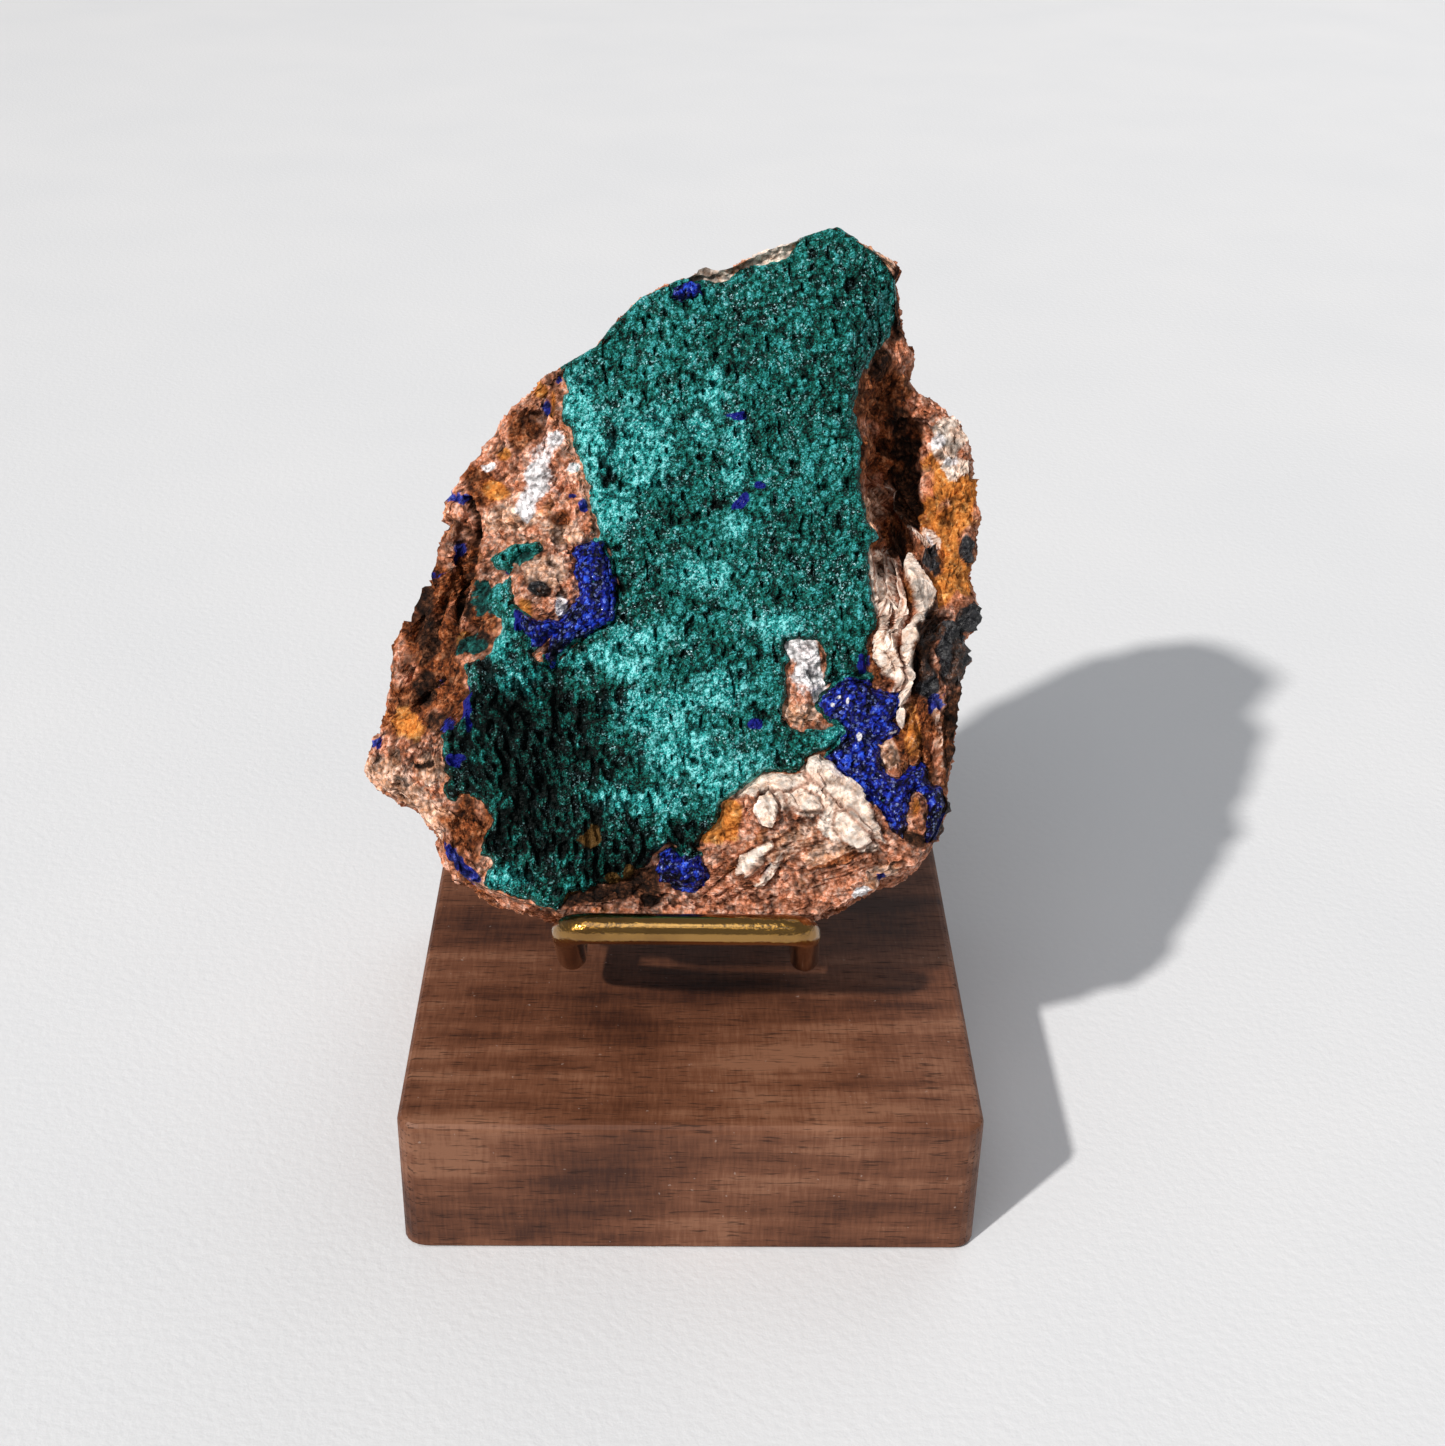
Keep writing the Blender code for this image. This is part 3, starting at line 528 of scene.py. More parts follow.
def crossings(outline, angle):
    """Where a line from the hub crosses an outline: how far out, and the outline's height there."""
    du, dv = math.cos(angle), math.sin(angle)
    found = []
    for a, b in zip(outline, outline[1:] + outline[:1]):
        au, av = a[0] - HUB[0], a[1] - HUB[1]
        bu, bv = b[0] - HUB[0], b[1] - HUB[1]
        side_a = au * dv - av * du
        side_b = bu * dv - bv * du
        if (side_a > 0.0) == (side_b > 0.0):
            continue
        t = side_a / (side_a - side_b)
        along = (au + (bu - au) * t) * du + (av + (bv - av) * t) * dv
        if along > 0.0:
            found.append((along, a[2] + (b[2] - a[2]) * t if len(a) > 2 else 0.0))
    return sorted(found)


TABLE_ANGLES = np.linspace(0.0, FULL_TURN, 1441)
RIM_TABLE = np.array([crossings(RIM, angle)[-1] for angle in TABLE_ANGLES])


def rim_at(angle):
    angle = np.mod(angle, FULL_TURN)
    return [np.interp(angle, TABLE_ANGLES, column) for column in RIM_TABLE.T]


def inside_rim(u, v):
    """How far inside the rim each place lies, and the rim's height beside it."""
    rim_radius, rim_w = rim_at(np.arctan2(v - HUB[1], u - HUB[0]))
    return rim_radius - np.hypot(u - HUB[0], v - HUB[1]), rim_w


def relief(u, v, past_edge, to_rim, rim_w):
    height = -CRUST_DEPTH * (1.0 - smoothstep(0.0, 1.5, past_edge))
    height = height - 0.6 * smoothstep(0.0, 1.5, past_edge) * (1.0 - smoothstep(2.0, 6.0, past_edge))
    right = smoothstep(14.0, 20.0, u) * smoothstep(33.0, 38.0, v)
    drop = 1.0 - smoothstep(0.0, FLANK_REACH, to_rim)
    drop = np.maximum(drop, right * smoothstep(0.0, 2.5, past_edge))
    height = height + rim_w * drop
    place = at_level(u, v, 3.0)
    height = height + lumps(place, FACE_NOISE) + sum(mound(u, v, shape) for shape in FACE_MOUNDS)
    bare = smoothstep(0.0, 2.0, past_edge) * smoothstep(0.0, 1.5, to_rim)
    height = height + bare * sum(mound(u, v, shape) for shape in BARE_MOUNDS)
    height = height + bare * mound(u + (v - CRACK[2]) * CRACK_SLANT, v, CRACK)
    return height + bare * lumps(place, BARE_NOISE)


def thickness(u, v):
    slant = (u - SLANT_START - v * math.sin(LEAN)) / math.cos(LEAN)
    side = THICKNESS - SIDE_THINNING[0] * np.maximum(0.0, u - SIDE_THINNING[1])
    foot = THICKNESS - FOOT_THINNING[0] * np.maximum(0.0, FOOT_THINNING[1] - v)
    return np.minimum(np.minimum(slant, side), foot) + lumps(at_level(u, v, 40.0), BACK_NOISE)


def keep_clear(points):
    """Pushes points out of the rod, off its lip and up from its arms."""
    points = points.copy()
    near_lip = (points[:, 0] > LIP_LEFT_X - 4.0) & (points[:, 0] < LIP_RIGHT_X + 4.0)
    off = points[:, 1:] - np.array([LIP_Y, LIP_Z])
    length = np.maximum(np.hypot(off[:, 0], off[:, 1]), 1e-6)
    push = np.where(near_lip, np.clip(LIP_CLEARANCE - length, 0.0, None), 0.0)
    points[:, 1:] += off / length[:, None] * push[:, None]
    line = [(LIP_Y, LIP_Z), ELBOW, ARM_MIDDLE, ARM_HEEL, BACK_APEX]
    for (y0, z0), (y1, z1) in zip(line, line[1:]):
        slope = math.atan2(z1 - z0, y1 - y0)
        up = np.array([-math.sin(slope), math.cos(slope)])
        over = (points[:, 1:] - np.array([y0, z0])) @ up
        points[:, 1:] += np.clip(ARM_CLEARANCE - over, 0.0, None)[:, None] * up
    return points


def ground(u, v):
    """The rock's height without fine relief, how far inside the malachite, and the pixel."""
    within, rim_w = inside_rim(u, v)
    to_rim = np.maximum(0.0, within)
    rough = relief(u, v, np.zeros(len(u)), to_rim, rim_w)
    depth = covered_by(to_photo(face_to_world(u, v, rough)))
    height = relief(u, v, np.maximum(0.0, -depth), to_rim, rim_w)
    pixel = to_photo(face_to_world(u, v, height))
    return height, covered_by(pixel), pixel


def covered_by(pixel):
    """How far inside the malachite each pixel lies, in millimetres. It runs on under azurite."""
    own = np.minimum(inside_by(pixel, MALACHITE), -inside_by(pixel, CALCITE_WINDOW))
    depth = own
    for outline in AZURITE.values():
        inside = inside_by(pixel, outline)
        joined = np.minimum(inside + BESIDE_AZURITE, own + AZURITE_NEARNESS)
        depth = np.maximum(depth, np.maximum(joined, inside - UNDER_AZURITE))
    return depth / PIXELS_PER_MM


# Making a mesh
def make_mesh(name, points, faces, attributes, smooth=False):
    mesh = bpy.data.meshes.new(name)
    mesh.from_pydata((points * MM).tolist(), [], faces)
    if smooth:
        mesh.shade_smooth()
    for key, values in attributes.items():
        layer = mesh.attributes.new(key, "FLOAT", "POINT")
        layer.data.foreach_set("value", np.asarray(values, np.float32))
    mesh.update()
    piece = bpy.data.objects.new(name, mesh)
    bpy.context.scene.collection.objects.link(piece)
    return piece


# The rock
def spoke_angles():
    """Angles round the hub whose spokes meet the rim at even distances."""
    corners = RIM + RIM[:1]
    lengths = [math.dist(a[:2], b[:2]) for a, b in zip(corners, corners[1:])]
    travelled = np.concatenate([[0.0], np.cumsum(lengths)])
    targets = np.arange(SPOKES) * travelled[-1] / SPOKES
    u = np.interp(targets, travelled, [c[0] for c in corners])
    v = np.interp(targets, travelled, [c[1] for c in corners])
    return np.sort(np.mod(np.arctan2(v - HUB[1], u - HUB[0]), FULL_TURN))


def first_bare(angles):
    """How far from the hub the malachite first gives way to other rock, less a margin."""
    holes = [[from_photo(*p) for p in outline] for outline in (MALACHITE, CALCITE_WINDOW)]
    hits = [[hit[0] for hole in holes for hit in crossings(hole, angle)] for angle in angles]
    first = np.array([min(distances, default=99.0) for distances in hits])
    spread = np.arange(-8, 9)
    for settle in (np.min, np.mean):
        first = np.array([settle(first[(i + spread) % len(first)]) for i in range(len(first))])
    return np.maximum(3.0, first - 2.5)


def front_rings(angles, rim_radius):
    """Rings of the face: their places, how far inside the malachite they are, and their pixels."""
    first = np.minimum(first_bare(angles), rim_radius - 2.0)
    radii = [first * (0.08 + 0.92 * i / (HIDDEN_RINGS - 1)) for i in range(HIDDEN_RINGS)]
    radii += [first + (rim_radius - first) * (i + 1) / FACE_RINGS for i in range(FACE_RINGS)]
    radii = np.array(radii)
    u = HUB[0] + radii * np.cos(angles)
    v = HUB[1] + radii * np.sin(angles)
    height, depth, pixel = (part.reshape(*radii.shape, -1) for part in ground(u.ravel(), v.ravel()))
    height, depth = height[..., 0], depth[..., 0]
    return face_to_world(u, v, height - SUNK_UNDER_MALACHITE * smoothstep(0.4, 1.6, depth)), depth, pixel


def back_rings(angles, rim_radius, rim_w):
    """Rings of the sides and back: their places, and how far they lie behind the rim."""
    du, dv = np.cos(angles), np.sin(angles)
    shares, spreads = np.array(BACK_RINGS).T
    lengths = np.hypot(np.diff(shares) * 30.0, np.diff(spreads) * 40.0)
    steps = np.concatenate([[0.0], np.cumsum(lengths)])
    wanted = steps[-1] * (np.arange(BACK_RING_COUNT) + 1) / BACK_RING_COUNT
    places = []
    depths = []
    for share, spread in zip(np.interp(wanted, steps, shares), np.interp(wanted, steps, spreads)):
        inner = rim_radius * spread
        bu, bv = HUB[0] + du * inner, HUB[1] + dv * inner
        deep = share * np.maximum(THINNEST, thickness(bu, bv) + rim_w)
        flare = 1.0 + BACK_FLARE * deep * (0.4 + 0.6 * np.maximum(0.0, dv))
        flare += SIDE_ROUGHNESS * share * lumps(np.stack([bu, bv, deep], -1), SIDE_NOISE)
        bu, bv = HUB[0] + du * inner * flare, HUB[1] + dv * inner * flare
        places.append(face_to_world(bu, bv, rim_w - deep))
        depths.append(deep)
    return np.array(places), np.array(depths)


def calcite_and_cracks(places, pixels, seen):
    """The rise and stripes of blades, slabs, ridges and cracks, how calm they are, and their masks."""
    rise = np.zeros(len(places))
    lath = np.zeros(len(places))
    closest = np.full(len(places), 9.0)
    flow = np.zeros(len(places))
    for line, half, blade_rise, pale in BLADES:
        far, across = along_by(pixels, line)
        shape = (1.0 - smoothstep(0.6, 1.1, far / half)) * seen
        rise += blade_rise * shape
        lath = np.maximum(lath, pale * shape)
        flow = np.where(far / half < closest, across, flow)
        closest = np.minimum(closest, far / half)
    wander = flow / FIBRE_SPACING + 0.7 * perlin(places, 5.0) + 0.15 * perlin(places, 1.5)
    stripe = np.abs(wander - np.floor(wander) - 0.5) * 2.0
    slab = np.zeros(len(places))
    border = np.zeros(len(places))
    for outline, slab_rise, pale in SLABS:
        inside = inside_by(pixels, outline)
        shape = smoothstep(-1.0, 2.0, inside) * seen
        rise += slab_rise * shape
        lath = np.maximum(lath, pale * shape)
        slab = np.maximum(slab, shape)
        border = np.maximum(border, (1.0 - smoothstep(0.8, 2.4, np.abs(inside + 1.0))) * seen)
    for line, half, ridge_rise in RIDGES:
        far, _ = along_by(pixels, line)
        rise += ridge_rise * (1.0 - smoothstep(0.3, 1.3, far / half)) * seen
    fibre = (1.0 - smoothstep(1.6, 3.0, closest)) * seen * (1.0 - slab)
    seam = np.maximum(fibre * (1.0 - smoothstep(0.2, 0.5, stripe)), 0.8 * border)
    calm = 1.0 - 0.85 * np.maximum(fibre, slab)
    return rise, fibre * 0.4 * (stripe - 0.6), calm, {"lath": lath, "seam": seam}


def rock_relief(places, pixels, seen):
    """How far the rock's fine relief lifts each place, and the masks that go with it."""
    rise, stripes, calm, masks = calcite_and_cracks(places, pixels, seen)
    white = patch(pixels, perlin(places, 2.4), WHITE, 0.55) * seen
    grey = patch(pixels, perlin(places, 3.0), GREY) * seen
    angular = 0.62 * facets(places, 4.6, 11.0) + 0.34 * facets(places, 2.0, 23.0)
    grains = nodules(places, 0.8, 5.0) - 0.3
    knobs = nodules(places, 1.9, 8.0)
    fine = 0.16 * perlin(places, 0.9) + 0.1 * perlin(places, 0.45)
    lift = angular * calm * (1.0 - 0.4 * white) * (1.0 - grey)
    lift += 0.42 * grains * calm
    lift += fine * (0.4 + 0.6 * seen)
    lift += stripes
    lift += grey * (1.3 * knobs - 0.4)
    masks["white"] = white
    masks["grey"] = grey
    # Low in the rock's low places, where the colour is painted darker: painted shade
    masks["crease"] = smoothstep(-0.55, 0.35, (angular * 0.8 + 0.9 * grains) * calm + 3.0 * fine)
    # Cracks painted darker: painted shade
    masks["cracked"] = smoothstep(-0.5, -1.3, rise) * seen
    return lift + rise, masks


def rock_faces(rings):
    """Faces of the front and of the rear. A point of its own closes each end of the rings."""
    j = np.arange(SPOKES)
    k = (j + 1) % SPOKES
    front = np.stack([np.full(SPOKES, rings * SPOKES), j, k], -1).tolist()
    rear = []
    for i in range(rings - 1):
        near, far = i * SPOKES, (i + 1) * SPOKES
        belt = front if i < HIDDEN_RINGS + FACE_RINGS - 1 else rear
        belt += np.stack([near + j, far + j, far + k, near + k], -1).tolist()
    last = (rings - 1) * SPOKES
    rear += np.stack([last + j, np.full(SPOKES, rings * SPOKES + 1), last + k], -1).tolist()
    return front, rear


def build_rock():
    """The rock as rings round the hub, from its middle over the rim to its back, in two meshes."""
    angles = spoke_angles()
    rim_radius, rim_w = rim_at(angles)
    front, depth, pixel = front_rings(angles, rim_radius)
    back, behind = back_rings(angles, rim_radius, rim_w)
    grid = np.concatenate([front, back])
    across = np.roll(grid, -1, 1) - np.roll(grid, 1, 1)
    normal = np.cross(np.gradient(grid, axis=0), across)
    normal /= np.maximum(np.linalg.norm(normal, axis=-1, keepdims=True), 1e-9)
    bare = smoothstep(0.2, -1.2, depth)
    away = bare[-1] + (1.0 - bare[-1]) * smoothstep(0.0, 4.0, behind)
    bare = np.concatenate([bare, away]).ravel()
    pixels = np.concatenate([pixel, np.repeat(pixel[-1:], BACK_RING_COUNT, 0)]).reshape(-1, 2)
    seen = np.concatenate([np.ones(depth.shape), 1.0 - smoothstep(2.0, 9.0, behind)]).ravel()
    places = grid.reshape(-1, 3)
    lift, masks = rock_relief(places, pixels, seen)
    places = places + normal.reshape(-1, 3) * (bare * lift)[:, None]
    low, high = (np.array(corner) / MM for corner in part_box("rock_matrix"))
    places = np.clip(keep_clear(places), low - PAST_ROCK_BOX, high + PAST_ROCK_BOX)
    for name, (shapes, size, soft) in STAINS.items():
        masks[name] = patch(pixels, perlin(places, size), shapes, soft) * seen
    masks["dark_and_shade"] = np.maximum(masks["dark_and_shade"], masks.pop("cracked"))
    masks["blue"] = patch(pixels, perlin(places, 1.2), BLUE) * smoothstep(0.75, 1.0, seen)
    masks["seen"] = seen
    rings = places.reshape(len(grid), SPOKES, 3)
    points = np.concatenate([places, [rings[0].mean(0), rings[-1].mean(0)]])
    attributes = {name: np.concatenate([values, [0.0, 0.0]]) for name, values in masks.items()}
    front_faces, rear_faces = rock_faces(len(grid))
    return [part_of_mesh("rock_face", points, front_faces, attributes),
            part_of_mesh("rock_rear", points, rear_faces, attributes)]


def part_of_mesh(name, points, faces, attributes):
    """A mesh of some faces, with only the points that they use."""
    used = np.unique(np.concatenate([np.asarray(face) for face in faces]))
    index = np.full(len(points), -1)
    index[used] = np.arange(len(used))
    faces = [[int(index[corner]) for corner in face] for face in faces]
    return make_mesh(name, points[used], faces, {key: values[used] for key, values in attributes.items()})


# The skins
def skin_grid(u0, u1, v0, v1, cell):
    columns = int((u1 - u0) / cell) + 1
    rows = int((v1 - v0) / cell) + 1
    return np.meshgrid(u0 + cell * np.arange(columns), v0 + cell * np.arange(rows))


# The four corners of every cell of a grid, in order round the cell
CELL_CORNERS = [np.s_[:-1, :-1], np.s_[:-1, 1:], np.s_[1:, 1:], np.s_[1:, :-1]]


def build_skin(name, u, v, margin, shape, cell):
    """A skin over the part of a grid where margin, the distance inside its edge, is positive.

    shape(u, v, inside) gives the final heights and the attributes of the moved points.
    """
    slope_v, slope_u = np.gradient(margin, cell)
    steep = np.maximum(np.hypot(slope_u, slope_v), 0.3) ** 2
    edge = (margin < 0.4 * cell) & (margin > -1.1 * cell)
    shift = np.where(edge, margin / steep, 0.0)
    shift = np.clip(shift, -0.9 * cell, 0.9 * cell)
    u = u - shift * slope_u
    v = v - shift * slope_v
    keep = margin > -0.75 * cell
    quads = np.all([keep[corner] for corner in CELL_CORNERS], 0)
    used = np.zeros(u.shape, bool)
    for corner in CELL_CORNERS:
        used[corner] |= quads
    index = np.full(u.shape, -1)
    index[used] = np.arange(used.sum())
    faces = np.stack([index[corner][quads] for corner in CELL_CORNERS], -1).tolist()
    inside = np.maximum(0.0, np.where(edge, 0.0, margin))[used]
    u, v = u[used], v[used]
    w, attributes = shape(u, v, inside)
    return make_mesh(name, keep_clear(face_to_world(u, v, w)), faces, attributes)


def ragged_edge(u, v, amount):
    place = at_level(u, v, 7.0)
    return amount * (perlin(place, 1.6) + 0.6 * perlin(place, 0.7))


def skin_top(u, v):
    """Height of the malachite's upper side without its nodules, the rock's height, and the pixel."""
    height, depth, pixel = ground(u, v)
    return height + CRUST_DEPTH * smoothstep(-0.3, 0.9, depth), height, pixel


def rolled_edge(inside, reach):
    """0 at a skin's edge, and 1 from some way inside it."""
    return 1.0 - (1.0 - np.clip(inside / reach, 0.0, 1.0)) ** 2


def malachite_shape(u, v, inside):
    top, height, pixel = skin_top(u, v)
    place = np.stack([u, v * 0.85, top], -1)
    leafy = np.stack([u * 1.5 + 0.35 * v, v * 0.62 - 0.25 * u, top], -1)
    bent = 2.2 * perlin(place, 7.0)
    slits = np.stack([u * 1.9 + 0.4 * v + bent, v * 0.8 - 0.2 * u, top + 9.0], -1)
    shaded = patch(pixel, perlin(place, 3.0), SHADED, 0.8)
    coarse = nodules(leafy, 2.0, 3.0)
    medium = nodules(place, 1.05, 9.0)
    small = nodules(place, 0.52, 17.0)
    chips = facets(place, 0.95, 51.0)
    rough = perlin(place, 0.75)
    pits = smoothstep(0.0, 0.26, perlin(leafy, 1.3)) * shaded
    gaps = smoothstep(0.43, 0.52, perlin(slits, 1.5)) * (1.0 - shaded)
    bumps = (0.25 + 0.5 * shaded) * coarse + 0.52 * medium + 0.2 * chips + 0.26 * small + 0.16 * rough
    bumps += 0.35 * perlin(place, 4.0) - 1.15 * pits - 0.8 * gaps + 0.08 * perlin(place, 0.3)
    rolled = rolled_edge(inside, 0.8)
    w = height - 0.35 + (top - height + 0.35) * rolled + (bumps - 0.32) * rolled
    w -= np.maximum(0.0, -inside_rim(u, v)[0])
    # Low in the hollows, pits and gaps, where the colour is painted darker: painted shade
    hollow_shading = (0.3 + 0.3 * shaded) * coarse + 0.5 * medium + 0.14 * chips + 0.32 * small + 0.22 * rough
    hollow_shading += 0.03 - 0.9 * pits - 0.75 * gaps
    attributes = {
        "crease": smoothstep(-0.1, 0.8, hollow_shading), "shaded": shaded,
        "mint": patch(pixel, perlin(place, 1.6), MINT, 0.9),
        "blue": patch(pixel, perlin(place, 1.0), SPOTS),
        "pebble": patch(pixel, perlin(place, 1.5), PEBBLES),
    }
    return w, attributes


def azurite_shape(u, v, inside):
    top, height, pixel = skin_top(u, v)
    place = np.stack([u, v, top], -1)
    coarse = nodules(place, 1.4, 31.0)
    chips = facets(place, 0.75, 41.0)
    small = nodules(place, 0.5, 43.0)
    bumps = 0.35 * coarse + 0.3 * chips + 0.14 * small + 0.45 * perlin(place, 2.2)
    rolled = rolled_edge(inside, 0.7)
    w = height - 0.4 + (top - height + 1.05) * rolled + (bumps + 0.05) * rolled
    attributes = {
        # Darker in the creases between nodules and over the shaded patches: painted shade
        "crease": smoothstep(-0.1, 0.7, 0.45 * coarse + 0.4 * small + 0.25 * chips),
        "white": patch(pixel, perlin(place, 1.0), SPECKS),
        "shaded": patch(pixel, 0.6 * perlin(place, 1.2), AZURITE_SHADE),
    }
    return w, attributes


def build_malachite():
    u, v = skin_grid(-35.0, 27.0, -2.0, 92.0, MALACHITE_CELL)
    flat_u, flat_v = u.ravel(), v.ravel()
    depth = ground(flat_u, flat_v)[1] + ragged_edge(flat_u, flat_v, 0.45)
    margin = np.minimum(depth, inside_rim(flat_u, flat_v)[0] + OVER_RIM)
    return build_skin("malachite", u, v, margin.reshape(u.shape), malachite_shape, MALACHITE_CELL)


def build_azurite(name, outline):
    spots = np.array([from_photo(*p) for p in outline])
    (u0, v0), (u1, v1) = spots.min(0) - 2.5, spots.max(0) + 2.5
    u, v = skin_grid(u0, u1, v0, v1, AZURITE_CELL)
    flat_u, flat_v = u.ravel(), v.ravel()
    depth = inside_by(ground(flat_u, flat_v)[2], outline) / PIXELS_PER_MM
    depth = depth + 0.15 + ragged_edge(flat_u, flat_v, 0.5)
    margin = np.minimum(depth, inside_rim(flat_u, flat_v)[0] - 0.1)
    return build_skin(name + "_crust", u, v, margin.reshape(u.shape), azurite_shape, AZURITE_CELL)


# The rod
def rounded_path(corners):
    """Close points along straight runs and arcs, and how strongly the rod bends at each."""
    path = [corners[0][0]]
    bend = [0.0]
    for (before, _), (corner, radius), (after, _) in zip(corners, corners[1:], corners[2:]):
        to_before = (before - corner).normalized()
        to_after = (after - corner).normalized()
        half = to_before.angle(to_after) / 2.0
        bisector = (to_before + to_after).normalized()
        centre = corner + bisector * (radius / math.sin(half))
        start = corner + to_before * (radius / math.tan(half)) - centre
        axis = to_before.cross(to_after).normalized()
        turn = math.pi - 2.0 * half
        steps = max(4, round(turn / BEND_STEP))
        for i in range(steps + 1):
            angle = -turn * i / steps
            path.append(centre + start * math.cos(angle) + axis.cross(start) * math.sin(angle))
            bend.append(min(1.0, 4.0 / radius))
    path.append(corners[-1][0])
    bend.append(0.0)
    close, bends = [path[0]], [0.0]
    for a, b, bend_a, bend_b in zip(path, path[1:], bend, bend[1:]):
        count = max(1, round((b - a).length / ROD_STEP))
        for i in range(count):
            t = (i + 1) / count
            close.append(a.lerp(b, t))
            straight = count > 2
            bends.append(max(bend_a * (1.0 - t) ** 3, bend_b * t ** 3) if straight else bend_b)
    return close, bends


def rod_side(arm_x):
    """Corners of the rod from a leg's foot to the elbow in front, with their bend radii."""
    return [
        (Vector((arm_x, LEG_Y, BLOCK_HEIGHT - LEG_DEPTH)), 0.0),
        (Vector((arm_x, *BACK_APEX)), APEX_RADIUS),
        (Vector((arm_x, *ARM_HEEL)), HEEL_RADIUS),
        (Vector((arm_x, *ARM_MIDDLE)), ARM_MIDDLE_RADIUS),
        (Vector((arm_x, *ELBOW)), ELBOW_RADIUS),
    ]


def build_rod():
    corners = rod_side(ARM_LEFT_X)
    corners.append((Vector((LIP_LEFT_X, LIP_Y, LIP_Z)), LIP_CORNER_RADIUS))
    corners.append((Vector((LIP_RIGHT_X, LIP_Y, LIP_Z)), LIP_CORNER_RADIUS))
    corners += reversed(rod_side(ARM_RIGHT_X))
    path, bends = rounded_path(corners)
    points, faces, bent = [], [], []
    along = (path[1] - path[0]).normalized()
    across = along.orthogonal().normalized()
    for i, place in enumerate(path):
        ahead = path[min(i + 1, len(path) - 1)] - path[max(i - 1, 0)]
        ahead.normalize()
        across = along.rotation_difference(ahead) @ across
        across = (across - ahead * across.dot(ahead)).normalized()
        along = ahead
        upward = along.cross(across)
        for n in range(ROD_SIDES):
            turn = FULL_TURN * n / ROD_SIDES
            out = across * math.cos(turn) + upward * math.sin(turn)
            spot = place + out * ROD_RADIUS
            ripple = 0.012 * noise.noise(spot / 5.0) + bends[i] * 0.05 * noise.noise(spot / 0.9)
            points.append(spot + out * ripple)
            bent.append(bends[i])
    for i in range(len(path) - 1):
        for n in range(ROD_SIDES):
            m = (n + 1) % ROD_SIDES
            a, b = i * ROD_SIDES, (i + 1) * ROD_SIDES
            faces.append((a + n, a + m, b + m, b + n))
    faces.append(tuple(reversed(range(ROD_SIDES))))
    faces.append(tuple(range((len(path) - 1) * ROD_SIDES, len(path) * ROD_SIDES)))
    return make_mesh("brass_rod", np.array([tuple(p) for p in points]), faces, {"bent": bent}, True)


